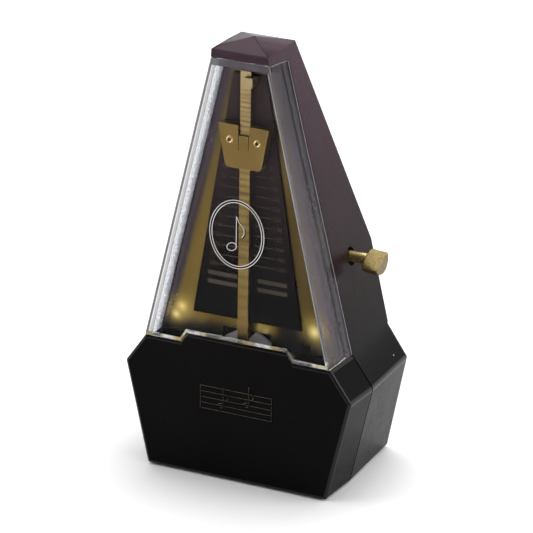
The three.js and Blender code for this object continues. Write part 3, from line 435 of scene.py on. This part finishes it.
# Painted light and shade on the gold surround: highlights, their halo and a shadow colour.
GLINT_Y = -16.3 * MM
GLINT_HALO = (0.5, 0.36, 0.08)
TRAY_SHADOW = (0.012, 0.009, 0.008)
GLINTS = (  # x, z, radius and colour of each gleam at the foot of the gold surround
    (-26.0 * MM, 58.4 * MM, 3.2 * MM, (1.0, 0.72, 0.3)),
    (-28.2 * MM, 55.2 * MM, 2.6 * MM, (0.9, 0.74, 0.3)),
    (26.0 * MM, 58.2 * MM, 3.8 * MM, (1.0, 0.82, 0.36)),
    (3.6 * MM, 55.8 * MM, 2.2 * MM, (0.6, 0.45, 0.15)),
    (7.4 * MM, 55.2 * MM, 2.4 * MM, (0.6, 0.45, 0.15)),
)


def gold_paint(nodes, colour):
    """Olive gold, duller at the top, with painted shade to the right, at the outer edge and foot,
    and painted highlights at the lower corners.
    """
    height = axis_value(nodes, "Z")
    across = axis_value(nodes, "X")
    upper = spread(nodes, height, 0, 0.6, 90 * MM, 150 * MM)
    colour = blend_colours(nodes, upper, colour, (0.12, 0.08, 0.045))
    right = spread(nodes, across, 0, 0.55, 5 * MM, 18 * MM)
    colour = blend_colours(nodes, right, colour, (0.012, 0.008, 0.006))
    grain = noise(nodes, coordinates(nodes), 2000, detail=2.0)
    grain = spread(nodes, grain, -0.6 * MM, 0.6 * MM)
    inwards = math_node(nodes, "ADD", edge_distance(nodes, TRAY_FOOT, TRAY_SLOPE), grain)
    rim = spread(nodes, inwards, 1, 0, 2.2 * MM, 4.2 * MM)
    colour = blend_colours(nodes, rim, colour, (0.055, 0.042, 0.05))
    low = spread(nodes, height, 1, 0, 58 * MM, 60.5 * MM)
    beyond = math_node(nodes, "MULTIPLY", low, spread(nodes, across, 0, 0.9, 10 * MM, 13.5 * MM))
    colour = blend_colours(nodes, beyond, colour, TRAY_SHADOW)
    foot = spread(nodes, height, 0.9, 0, 52.0 * MM, 56.0 * MM)
    colour = blend_colours(nodes, foot, colour, (0.04, 0.034, 0.034))
    for x, z, radius, shine in GLINTS:
        place = (x, GLINT_Y, z)
        colour = blend_colours(nodes, glow(nodes, place, 2.4 * radius), colour, GLINT_HALO)
        colour = blend_colours(nodes, glow(nodes, place, radius), colour, shine)
    return colour


# Metallised gold, with painted highlights and painted shade laid over it.
GOLD = surface(
    "dial_gold_metallised", ((0.15, 0.096, 0.02), (0.17, 0.11, 0.024)), (0.26, 0.38),
    metallic=1.0, patch_scale=50, grain_scale=2200, grain=0.18, paint=gold_paint,
)
CATCH_GOLD = surface(
    "catch_gold_metallised", ((0.4, 0.3, 0.15), (0.46, 0.35, 0.18)), (0.3, 0.42), metallic=1.0,
)


def dial_paint(nodes, colour):
    """Near black at the foot of the scale, with a painted purple-brown sheen towards its top."""
    rise = spread(nodes, axis_value(nodes, "Z"), 0, 1, 68 * MM, 150 * MM)
    return blend_colours(nodes, rise, colour, (0.085, 0.052, 0.056))


DIAL_BLACK = surface(
    "dial_black_printed", ((0.0015, 0.0014, 0.0013), (0.003, 0.0027, 0.0025)), (0.3, 0.42),
    specular=0.0, grain_scale=4000, grain=0.08, paint=dial_paint,
)
PRINT_GOLD = surface(
    "dial_print_gold", ((0.06, 0.043, 0.023), (0.08, 0.057, 0.03)), (0.4, 0.55), metallic=0.4,
)
NOTCH_PITCH, NOTCH_TAPER = 5.9 * MM, 0.0314  # groove spacing at floor level, and its loss upwards


def rod_paint(nodes, colour):
    """Painted shade in the cross grooves for the weight's stops, wider apart lower down; painted
    shade low and painted light high on the brass.
    """
    height = axis_value(nodes, "Z")
    lower = spread(nodes, height, 0.75, 0, 50 * MM, 85 * MM)
    colour = blend_colours(nodes, lower, colour, (0.12, 0.075, 0.016))
    upper = spread(nodes, height, 0, 0.8, 118 * MM, 150 * MM)
    colour = blend_colours(nodes, upper, colour, (0.52, 0.38, 0.19))
    loss = math_node(nodes, "MULTIPLY", height, NOTCH_TAPER)
    pitch = math_node(nodes, "SUBTRACT", NOTCH_PITCH, loss)
    turns = math_node(nodes, "LOGARITHM", math_node(nodes, "DIVIDE", pitch, NOTCH_PITCH), math.e)
    phase = math_node(nodes, "MULTIPLY", turns, -2 * math.pi / NOTCH_TAPER)
    groove = spread(nodes, math_node(nodes, "SINE", phase), 0, 0.38, -0.1, 0.9)
    below_head = spread(nodes, height, 1, 0, 142 * MM, 144 * MM)
    depth = math_node(nodes, "MULTIPLY", groove, below_head)
    return blend_colours(nodes, depth, colour, (0.1, 0.06, 0.022))


# Rolled brass, with painted light and shade along its length.
ROD_BRASS = surface(
    "rod_brass_rolled", ((0.26, 0.175, 0.055), (0.32, 0.215, 0.07)), (0.3, 0.42),
    metallic=1.0, grain_scale=1400, grain=0.25, stretch=(1, 1, 0.05), paint=rod_paint,
)
WEIGHT_BRASS = surface(
    "weight_brass_brushed", ((0.18, 0.112, 0.03), (0.22, 0.138, 0.038)), (0.27, 0.4),
    metallic=1.0, grain_scale=1500, grain=0.3, stretch=(0.06, 1, 1),
)
# Bright brass of the rivets, also laid on the weight's front edges as a painted highlight.
BRASS_RIVETS_AND_EDGE_HIGHLIGHT = surface(
    "rivet_brass_and_painted_edge_highlight", ((0.72, 0.52, 0.2), (0.8, 0.58, 0.24)), (0.18, 0.26), metallic=1.0,
)
KEY_BRASS = surface(
    "key_brass_grained", ((0.085, 0.06, 0.02), (0.24, 0.175, 0.065)), (0.3, 0.42), metallic=0.75,
    patch_scale=1900, grain_scale=1900, grain=0.7, grain_depth=0.06 * MM, stretch=(0.25, 1, 1),
)
# Polished brass of the key's shaft, also laid on the head's rounded edges as a painted highlight.
KEY_POLISHED_AND_EDGE_HIGHLIGHT = surface(
    "key_brass_polished_and_edge_highlight", ((0.5, 0.38, 0.15), (0.62, 0.48, 0.21)), (0.14, 0.2), metallic=0.85,
)
MOVEMENT_BRASS = surface(
    "movement_brass", ((0.6, 0.44, 0.18), (0.72, 0.54, 0.24)), (0.25, 0.4),
    metallic=1.0, grain_scale=1800, grain=0.2, stretch=(1, 1, 0.1),
)
STEEL = surface(
    "steel_ground", ((0.4, 0.4, 0.41), (0.55, 0.55, 0.55)), (0.22, 0.36),
    metallic=1.0, grain_scale=2400, grain=0.2,
)
SPRING_STEEL = surface(
    "steel_blued", ((0.1, 0.12, 0.17), (0.17, 0.19, 0.24)), (0.2, 0.3), metallic=1.0,
)
# Pale cast zinc, lifted nearly to white as painted light for its dim place under the cover.
ZINC_WITH_PAINTED_LIGHT = surface(
    "bridge_zinc_painted_light", ((0.86, 0.82, 0.76), (0.95, 0.92, 0.87)), (0.5, 0.65),
    metallic=0.0, grain_scale=1500, grain=0.4,
)
RUBBER = surface(
    "foot_rubber", ((0.015, 0.015, 0.015), (0.03, 0.03, 0.03)), (0.75, 0.9), grain_scale=1800,
    grain=0.5,
)
EMBLEM_PRINT = surface(
    "emblem_silver_print", ((0.75, 0.74, 0.7), (0.9, 0.89, 0.86)), (0.35, 0.5), metallic=0.3,
    grain_scale=3000,
)
EMBLEM_INK = surface(
    "emblem_black_print", ((0.003, 0.003, 0.003), (0.006, 0.006, 0.006)), (0.3, 0.4),
    specular=0.2,
)
# Painted highlights for the edges of the base ornament.
GLINT_GOLD = surface(
    "ornament_painted_edge_highlights", ((0.07, 0.062, 0.04), (0.2, 0.17, 0.11)), (0.3, 0.4),
    specular=0.5, patch_scale=300,
)

FINISHES = {
    "case_black": CASE_BLACK,
    "clear_plastic": CLEAR,
    "gold_plastic": GOLD,
    "dial_black": DIAL_BLACK,
    "foot_rubber": RUBBER,
    "screw_steel": STEEL,
    "rod_brass": ROD_BRASS,
    "weight_brass": WEIGHT_BRASS,
    "movement_brass": MOVEMENT_BRASS,
    "key_brass": KEY_BRASS,
    "arbor_steel": STEEL,
    "spring_steel": SPRING_STEEL,
    "bridge_zinc": ZINC_WITH_PAINTED_LIGHT,
}
SLOT_OF = {part["node"]: part["material_slot"] for part in frame["record"]["subparts"]}
BODY_OF = {
    node: body
    for body, members in frame["record"]["behaviour"]["bodies"].items()
    for node in members
}
for node, obj in NODES.items():
    obj.data.materials.clear()
    obj.data.materials.append(FINISHES[SLOT_OF[node]])


# ---- refined copies of CAD pieces ---------------------------------------------------------------
SAME_PLACE = 0.002 * MM  # corners closer than this are joined
FLAT_ANGLE = math.radians(0.8)  # faces that meet at less than this become one
SMOOTH_ANGLE = math.radians(34)  # edges flatter than this are shaded smooth


def add_object(name, data):
    """Object in the scene that shows a mesh, curve, light or camera."""
    obj = bpy.data.objects.new(name, data)
    bpy.context.scene.collection.objects.link(obj)
    return obj


def merged_copy(node):
    """The CAD mesh with its split corners joined and its flat faces whole."""
    bm = bmesh.new()
    bm.from_mesh(NODES[node].data)
    bmesh.ops.remove_doubles(bm, verts=bm.verts, dist=SAME_PLACE)
    bmesh.ops.dissolve_limit(
        bm, angle_limit=FLAT_ANGLE, verts=bm.verts, edges=bm.edges, delimit={"NORMAL"}
    )
    return bm


def is_outer(edge, centre):
    """True on an edge whose two faces look away from the middle of the piece."""
    normal = edge.link_faces[0].normal + edge.link_faces[1].normal
    middle = (edge.verts[0].co + edge.verts[1].co) / 2
    return normal.dot(middle - Vector((centre.x, centre.y, middle.z))) > 0


def bevel_edges(
    bm, width, least_angle, choose=lambda edge: True, segments=3, clamp=True, finish=1
):
    """Rounds the chosen edges sharper than an angle in degrees; new faces take one finish."""
    edges = [
        edge
        for edge in bm.edges
        if len(edge.link_faces) == 2
        and edge.calc_face_angle_signed(0) > math.radians(least_angle)
        and edge.calc_length() > width
        and choose(edge)
    ]
    made = bmesh.ops.bevel(
        bm, geom=edges, offset=width, segments=segments, profile=0.6, affect="EDGES",
        clamp_overlap=clamp,
    )
    for face in made["faces"]:
        face.material_index = finish


def finished(bm, node, material, edge_material=None, more_materials=()):
    """Turns the mesh into the visible piece that stands for a CAD node.

    Its faces choose among the finishes by index: faces 0, edges 1, and any further ones from 2.
    """
    mesh = bpy.data.meshes.new(node + "_fine")
    bm.to_mesh(mesh)
    bm.free()
    mesh.polygons.foreach_set("use_smooth", [True] * len(mesh.polygons))
    mesh.set_sharp_from_angle(angle=SMOOTH_ANGLE)
    obj = add_object(node + "_fine", mesh)
    for each in (material, edge_material or material, *more_materials):
        mesh.materials.append(each)
    weighted = obj.modifiers.new("even_normals", "WEIGHTED_NORMAL")
    weighted.keep_sharp = True
    weighted.weight = 80
    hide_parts(node)
    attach(obj, BODY_OF[node])
    return obj


def refine(node, width, least_angle, material=None, edge_material=None, segments=2):
    """Piece with its edges rounded where they are sharper than the least angle."""
    bm = merged_copy(node)
    bevel_edges(bm, width, least_angle, segments=segments)
    finished(bm, node, material or FINISHES[SLOT_OF[node]], edge_material)


JOINT_GROOVE = 0.3 * MM  # chamfer of each shell along the joint between the two
JOINT_REACH = 4 * MM  # how far each shell's middle is taken from the joint
CAP_LOW = 60 * MM  # edges above this height are rounded less
CASE_ANGLE = 14  # degrees; flatter edges of the case stay as they are
BROAD_FACE = 60 * MM * MM
LONG_EDGE = 6 * MM
GROOVE_FINISH = 2  # index among a shell's finishes


def refine_case(node, width, cap_width):
    """Shell with its long outer edges rounded and a fine groove along its joint."""
    centre = (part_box(node)[0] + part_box(node)[1]) / 2
    centre.y = SEAM_Y + (JOINT_REACH if node == "rear_shell" else -JOINT_REACH)
    bm = merged_copy(node)

    def from_joint(edge):
        return [abs(vert.co.y - SEAM_Y) for vert in edge.verts]

    def long_outer(low, high):
        def choose(edge):
            broad = min(face.calc_area() for face in edge.link_faces) > BROAD_FACE
            off_joint = max(from_joint(edge)) > 0.3 * MM
            height = (edge.verts[0].co.z + edge.verts[1].co.z) / 2
            inside = low < height <= high
            long = edge.calc_length() > LONG_EDGE
            return broad and off_joint and inside and long and is_outer(edge, centre)

        return choose

    def on_joint(edge):
        return max(from_joint(edge)) < 0.05 * MM and is_outer(edge, centre)

    bevel_edges(bm, width, CASE_ANGLE, long_outer(-MM, CAP_LOW), 4, clamp=False)
    bevel_edges(bm, cap_width, CASE_ANGLE, long_outer(CAP_LOW, 1), 2, clamp=False, finish=0)
    bevel_edges(bm, JOINT_GROOVE, CASE_ANGLE, on_joint, 1, clamp=False, finish=GROOVE_FINISH)
    finished(bm, node, CASE_BLACK, CASE_EDGE, (SEAM_BLACK,))


refine_case("front_shell", 1.1 * MM, 0.2 * MM)
refine_case("rear_shell", 1.1 * MM, 0.3 * MM)

LEAST_PANEL = 4 * MM * MM  # smaller faces of the cover keep the finish that they have
FRONT_FINISH, LEFT_FINISH, RIGHT_FINISH, SIDE_FINISH = 2, 3, 4, 5  # among the cover's finishes
FORWARD, SIDEWAYS = 0.9, 0.7  # least share of a normal that counts as facing that way


def refine_cover():
    """Clear cover with polished faces outside and in front, and grained inner side walls."""
    bm = merged_copy("clear_cover")
    centre = Vector((0, SEAM_Y - JOINT_REACH, 0))
    bevel_edges(
        bm, 0.35 * MM, 12,
        lambda edge: is_outer(edge, centre) and edge.calc_length() > 2 * MM, 3,
    )
    cover = finished(
        bm, "clear_cover", CLEAR, CLEAR_RIM, (CLEAR_FRONT, FROSTED_LEFT, FROSTED_RIGHT, CLEAR_SIDE)
    )
    for polygon in cover.data.polygons:
        if polygon.area < LEAST_PANEL:
            continue
        if polygon.normal.y < -FORWARD:
            polygon.material_index = FRONT_FINISH
        elif abs(polygon.normal.x) > SIDEWAYS and polygon.normal.x * polygon.center.x < 0:
            polygon.material_index = LEFT_FINISH if polygon.center.x < 0 else RIGHT_FINISH
        elif polygon.normal.x > SIDEWAYS:
            polygon.material_index = SIDE_FINISH


refine_cover()
refine("dial_surround", 0.25 * MM, 40)
# Its rounded edges take the bright rivet brass as a painted highlight.
refine("weight_front_plate", 0.15 * MM, 40, edge_material=BRASS_RIVETS_AND_EDGE_HIGHLIGHT)
refine("weight_rear_plate", 0.12 * MM, 40)
refine("weight_rivet_left", 0.06 * MM, 60, BRASS_RIVETS_AND_EDGE_HIGHLIGHT)
refine("weight_rivet_right", 0.06 * MM, 60, BRASS_RIVETS_AND_EDGE_HIGHLIGHT)
refine("pendulum_rod", 0.08 * MM, 60)
refine("front_bridge", 0.2 * MM, 40)
refine("rod_catch", 0.15 * MM, 40, CATCH_GOLD)
refine("key_shaft", 0.15 * MM, 60, KEY_POLISHED_AND_EDGE_HIGHLIGHT)
# The head's rounded edges take the polished brass as a painted highlight.
refine("key_head", 0.3 * MM, 30, edge_material=KEY_POLISHED_AND_EDGE_HIGHLIGHT, segments=3)
for foot in ("foot_front_left", "foot_front_right", "foot_rear_left", "foot_rear_right"):
    refine(foot, 0.1 * MM, 30)


# ---- flat drawn details -------------------------------------------------------------------------
def ribbon(points, width, closed=False):
    """Outline strip of constant width along flat points."""
    count = len(points)
    left, right = [], []
    for i, point in enumerate(points):
        before = points[(i - 1) % count] if closed or i > 0 else point
        after = points[(i + 1) % count] if closed or i < count - 1 else point
        heading = (Vector(after) - Vector(before)).normalized()
        side = Vector((-heading.y, heading.x)) * width / 2
        left.append(Vector(point) + side)
        right.append(Vector(point) - side)
    spans = range(count if closed else count - 1)
    return [
        [left[i], left[(i + 1) % count], right[(i + 1) % count], right[i]] for i in spans
    ]


def oval(centre, radii, steps, turn=0.0):
    """Points round an ellipse, turned by an angle."""
    points = []
    for i in range(steps):
        angle = 2 * math.pi * i / steps
        u, v = radii[0] * math.cos(angle), radii[1] * math.sin(angle)
        points.append(
            (
                centre[0] + u * math.cos(turn) - v * math.sin(turn),
                centre[1] + u * math.sin(turn) + v * math.cos(turn),
            )
        )
    return points


def flat_piece(name, quads, place, thickness, material, body):
    """Raised flat shape; `place` maps (u, v, height) from the drawing plane."""
    bm = bmesh.new()
    for quad in quads:
        top = [bm.verts.new(place(u, v, thickness)) for u, v in quad]
        low = [bm.verts.new(place(u, v, 0)) for u, v in quad]
        bm.faces.new(top)
        bm.faces.new(low[::-1])
        for i in range(len(quad)):
            j = (i + 1) % len(quad)
            bm.faces.new((top[i], low[i], low[j], top[j]))
    bmesh.ops.recalc_face_normals(bm, faces=bm.faces)
    mesh = bpy.data.meshes.new(name)
    bm.to_mesh(mesh)
    bm.free()
    obj = add_object(name, mesh)
    mesh.materials.append(material)
    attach(obj, body)


def front_plane(node, low_z, high_z):
    """Place on the sloping front face of a piece, measured from its own corners."""
    corners = [vert.co for vert in NODES[node].data.vertices]

    def front_at(z):
        return min(corner.y for corner in corners if abs(corner.z - z) < 0.6 * MM)

    y_low, y_high = front_at(low_z), front_at(high_z)
    slope = (y_high - y_low) / (high_z - low_z)
    normal = Vector((0, -1, slope)).normalized()

    def place(u, v, height):
        z = low_z + v
        return Vector((u, y_low + slope * v, z)) + normal * height

    return place


def lined_note(x, y, size, line):
    """Outline of one eighth note: an open head, a stem and a flag, in shares of its size."""
    head = ribbon(oval((x, y), (size * 0.62, size * 0.44), 28, turn=0.4), line, True)
    stem_x = x + size * 0.56
    stem = ribbon([(stem_x, y + size * 0.1), (stem_x, y + size * 3.6)], line)
    flag = ribbon(
        [
            (stem_x, y + size * 3.6),
            (stem_x + size * 0.35, y + size * 2.9),
            (stem_x + size * 0.95, y + size * 2.35),
            (stem_x + size * 0.98, y + size * 1.7),
            (stem_x + size * 0.7, y + size * 1.25),
        ],
        line,
    )
    return head + stem + flag


FRONT_START = 3.6 * MM  # height of the front plane's start above the foot of the cover
cover_front = front_plane("clear_cover", SHOULDER_Z + FRONT_START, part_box("clear_cover")[1].z)
EMBLEM_X, EMBLEM_V = -0.4 * MM, 39.6 * MM  # middle of the emblem on the front plane
EMBLEM_RADII = (10.2 * MM, 12.0 * MM)
EMBLEM_LINE, EMBLEM_GLINT = 0.6 * MM, 0.22 * MM  # widths of its black lines and their bright edges
NOTE_X, NOTE_V, NOTE_SIZE = EMBLEM_X - 1.6 * MM, EMBLEM_V - 5.0 * MM, 3.1 * MM


def emblem_oval(growth, line):
    """Oval line, grown from the middle of the emblem's line by a share of that line's width."""
    radii = [radius + growth * EMBLEM_LINE for radius in EMBLEM_RADII]
    return ribbon(oval((EMBLEM_X, EMBLEM_V), radii, 72), line, True)


def add_emblem():
    """Plain oval with an eighth note, printed on the cover's front."""
    ink = emblem_oval(0, EMBLEM_LINE) + lined_note(NOTE_X, NOTE_V, NOTE_SIZE, NOTE_SIZE * 0.16)
    flat_piece(
        "cover_emblem", ink, cover_front, 0.06 * MM, EMBLEM_INK, "cover"
    )
    shift = EMBLEM_LINE * 0.5
    glints = emblem_oval(0.55, EMBLEM_GLINT) + emblem_oval(-0.9, EMBLEM_GLINT)
    glints += lined_note(NOTE_X - shift, NOTE_V + shift, NOTE_SIZE, EMBLEM_GLINT)
    flat_piece(
        "emblem_glints", glints, cover_front, 0.1 * MM, EMBLEM_PRINT, "cover"
    )


add_emblem()


def add_cover_beads():
    """Moulded beads along the lower and the upper edge of the cover's front."""
    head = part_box("clear_cover")[1].z - SHOULDER_Z
    low_v, tongue_v = 0.95 * MM - FRONT_START, 4.45 * MM - FRONT_START
    wide, step_out, step_in = COVER_FOOT - 1.3 * MM, 22.0 * MM, 19.7 * MM
    right = [(step_in, tongue_v), (step_out, low_v), (wide, low_v)]
    left = [(-x, v) for x, v in reversed(right)]
    flat_piece(
        "cover_lower_bead", ribbon(left + right, 1.2 * MM), cover_front, 0.3 * MM, CLEAR_EDGE,
        "cover",
    )
    v = head - FRONT_START - 1.3 * MM
    half = COVER_FOOT - COVER_SLOPE * (v + FRONT_START) - 1.2 * MM
    flat_piece(
        "cover_upper_bead", ribbon([(-half, v), (half, v)], 2.4 * MM), cover_front, 0.15 * MM,
        CLEAR_BAR, "cover",
    )


add_cover_beads()

# ---- scale --------------------------------------------------------------------------------------
TEMPOS = (
    *range(40, 60, 2), *range(60, 72, 3), *range(72, 120, 4), *range(120, 144, 6),
    *range(144, 209, 8),
)
PLATE_FACE = 2.6 * MM  # from the rod's middle plane back to the face of the scale
PRINT_DEPTH = 0.05 * MM
ROW_TOP = 99.5 * MM
ROW_PITCH = 1.8 * MM
NUMBER_SIZE = 2.3 * MM
COLUMN_TOP, COLUMN_SLOPE = 5.4 * MM, 0.115  # number columns' place beside the rod, and their spread
MARK_INNER, MARK_GAP = 2.5 * MM, 2.4 * MM  # mark's start, and its end's distance from the number
BAR_TOP, BAR_PITCH = 27.5 * MM, 3.2 * MM
BAR_INNER, BAR_OUTER = 4 * MM, 15.5 * MM


def dial_place(u, v, height):
    """Place on the face of the leaning scale."""
    return TILT @ Vector((u, PLATE_FACE - height, v))


def number_mesh(text):
    """Flat mesh of one tempo number, centred on its own origin."""
    curve = bpy.data.curves.new("tempo_" + text, "FONT")
    curve.body = text
    curve.size = NUMBER_SIZE
    curve.align_x = "CENTER"
    curve.align_y = "CENTER"
    curve.resolution_u = 2
    holder = add_object("tempo_" + text, curve)
    bpy.context.view_layer.update()
    mesh = bpy.data.meshes.new_from_object(holder)
    bpy.data.objects.remove(holder)
    bpy.data.curves.remove(curve)
    return mesh


def add_scale():
    """Tempo numbers in two columns, a short mark beside each, and two bars at the foot."""
    bm = bmesh.new()
    marks = []
    z = ROW_TOP
    for i, tempo in enumerate(TEMPOS):
        side = -1 if i % 2 == 0 else 1
        column = COLUMN_TOP + (ROW_TOP - z) * COLUMN_SLOPE
        mesh = number_mesh(str(tempo))
        mesh.transform(Matrix.Translation((side * column, z, 0)))
        bm.from_mesh(mesh)
        bpy.data.meshes.remove(mesh)
        mark_outer = column - MARK_GAP
        if mark_outer > MARK_INNER + 0.4 * MM:
            marks += ribbon([(side * MARK_INNER, z), (side * mark_outer, z)], 0.28 * MM)
        z -= ROW_PITCH
    for side in (-1, 1):
        for z in (BAR_TOP, BAR_TOP - BAR_PITCH):
            marks += ribbon([(side * BAR_INNER, z), (side * BAR_OUTER, z)], 1.5 * MM)
    for vert in bm.verts:
        vert.co = dial_place(vert.co.x, vert.co.y, PRINT_DEPTH)
    mesh = bpy.data.meshes.new("scale_numbers")
    bm.to_mesh(mesh)
    bm.free()
    numbers = add_object("scale_numbers", mesh)
    mesh.materials.append(PRINT_GOLD)
    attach(numbers, "case")
    flat_piece("scale_marks", marks, dial_place, PRINT_DEPTH, PRINT_GOLD, "case")


add_scale()

# ---- base ornament ------------------------------------------------------------------------------
BASE_SHOULDER = 37.76 * MM  # height at which the base's front face ends
base_front = front_plane("front_shell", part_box("front_shell")[0].z, BASE_SHOULDER)
STAFF_HALF, STAFF_LOW, STAFF_GAP = 14 * MM, 25 * MM, 2.1 * MM
STAFF_STEPS = 24  # parts of each line of the staff


def staff(shift, line):
    """Five lines closed at both ends, and two notes, moved up and to the left by the shift."""
    low, high = STAFF_LOW + shift, STAFF_LOW + 4 * STAFF_GAP + shift
    quads = []
    for i in range(5):
        z = STAFF_LOW + i * STAFF_GAP + shift
        start = -STAFF_HALF - shift
        points = [
            (start + 2 * STAFF_HALF * step / STAFF_STEPS, z) for step in range(STAFF_STEPS + 1)
        ]
        quads += ribbon(points, line)
    for x in (-STAFF_HALF - shift, STAFF_HALF - shift):
        quads += ribbon([(x, low), (x, high)], line)
    for x, row in ((-6 * MM, 1), (4 * MM, 2)):
        quads += lined_note(x - shift, STAFF_LOW + row * STAFF_GAP + shift, 1.9 * MM, line)
    return quads


def add_base_ornament():
    """Moulded staff in the same plastic as the case, with painted highlights along its edges."""
    flat_piece(
        "base_ornament", staff(0, 0.34 * MM), base_front, 0.14 * MM, CASE_BLACK,
        "case",
    )
    # Pale copy moved up and to the left: painted highlights on the staff's edges.
    flat_piece(
        "ornament_painted_highlights", staff(0.19 * MM, 0.12 * MM), base_front, 0.1 * MM, GLINT_GOLD,
        "case",
    )


add_base_ornament()


# ---- stage, light and camera --------------------------------------------------------------------
FLOOR_HALF = 6.0


def add_floor():
    """Wide pale sheet that the metronome stands on."""
    mesh = bpy.data.meshes.new("floor")
    near, far = -FLOOR_HALF, FLOOR_HALF
    corners = [(near, near, 0), (far, near, 0), (far, far, 0), (near, far, 0)]
    mesh.from_pydata(corners, [], [(0, 1, 2, 3)])
    floor = add_object("floor", mesh)
    material, nodes, shader, _ = new_material("floor_pale")
    colour = blend_colours(
        nodes, noise(nodes, coordinates(nodes), 6), (0.88, 0.88, 0.88), (0.9, 0.9, 0.9)
    )
    nodes.link(colour, shader.inputs["Base Color"])
    shader.inputs["Roughness"].default_value = 0.9
    shader.inputs["Specular IOR Level"].default_value = 0.0
    mesh.materials.append(material)


def add_area(name, place, aim, size, power):
    """Rectangular lamp at a place, turned to its aim."""
    light = bpy.data.lights.new(name, "AREA")
    light.shape = "RECTANGLE"
    light.size, light.size_y = size
    light.energy = power
    obj = add_object(name, light)
    obj.location = place
    obj.rotation_euler = (Vector(aim) - Vector(place)).to_track_quat("-Z", "Y").to_euler()


def add_world():
    """White light from behind, fading to dim light from the front."""
    world = bpy.data.worlds.new("studio")
    bpy.context.scene.world = world
    world.use_nodes = True
    nodes = Nodes(world.node_tree)
    place = nodes.add("ShaderNodeTexCoord")
    split = nodes.add("ShaderNodeSeparateXYZ")
    nodes.link(place.outputs["Generated"], split.inputs[0])
    behind = spread(nodes, split.outputs["Y"], 0, 1, -0.9, 0.5)
    colour = blend_colours(nodes, behind, (0.12, 0.118, 0.12), (1.15, 1.15, 1.15))
    background = nodes.add("ShaderNodeBackground")
    output = nodes.add("ShaderNodeOutputWorld")
    nodes.link(colour, background.inputs["Color"])
    nodes.link(background.outputs[0], output.inputs[0])


CAMERA = {  # angles in degrees, lens in millimetres; right and up shift the aim in the picture
    "azimuth": 27.744, "elevation": 21.594, "roll": -0.2, "distance": 1.4489, "lens": 281.97,
    "aim": Vector((0, -8.65, 75)) * MM, "right": 2.871 * MM, "up": 0.141 * MM,
}


def add_camera():
    """Camera to the front right and above, looking down at the metronome."""
    azimuth, elevation = math.radians(CAMERA["azimuth"]), math.radians(CAMERA["elevation"])
    towards = Vector(
        (
            math.sin(azimuth) * math.cos(elevation),
            -math.cos(azimuth) * math.cos(elevation),
            math.sin(elevation),
        )
    )
    right = Vector((math.cos(azimuth), math.sin(azimuth), 0))
    up = towards.cross(right)
    aim = CAMERA["aim"] + right * CAMERA["right"] + up * CAMERA["up"]
    turn = Matrix((right, up, towards)).transposed().to_4x4()
    camera = bpy.data.cameras.new("camera")
    camera.lens = CAMERA["lens"]
    camera.sensor_width = 36
    camera.clip_end = 50
    obj = add_object("camera", camera)
    roll = Matrix.Rotation(math.radians(CAMERA["roll"]), 4, "Z")
    obj.matrix_world = Matrix.Translation(aim + towards * CAMERA["distance"]) @ turn @ roll
    bpy.context.scene.camera = obj


add_floor()
add_world()
add_area("soft_top", (-0.2, 0.35, 1.4), (0, 0, 0.06), (1.6, 1.6), 18)
add_area("soft_right", (1.2, 0.35, 0.7), (0, 0, 0.05), (0.8, 0.8), 7)
add_area("soft_left", (-1.0, -0.7, 0.5), (0, 0, 0.08), (0.4, 0.8), 3)
add_camera()
bpy.context.scene.view_settings.view_transform = "Standard"
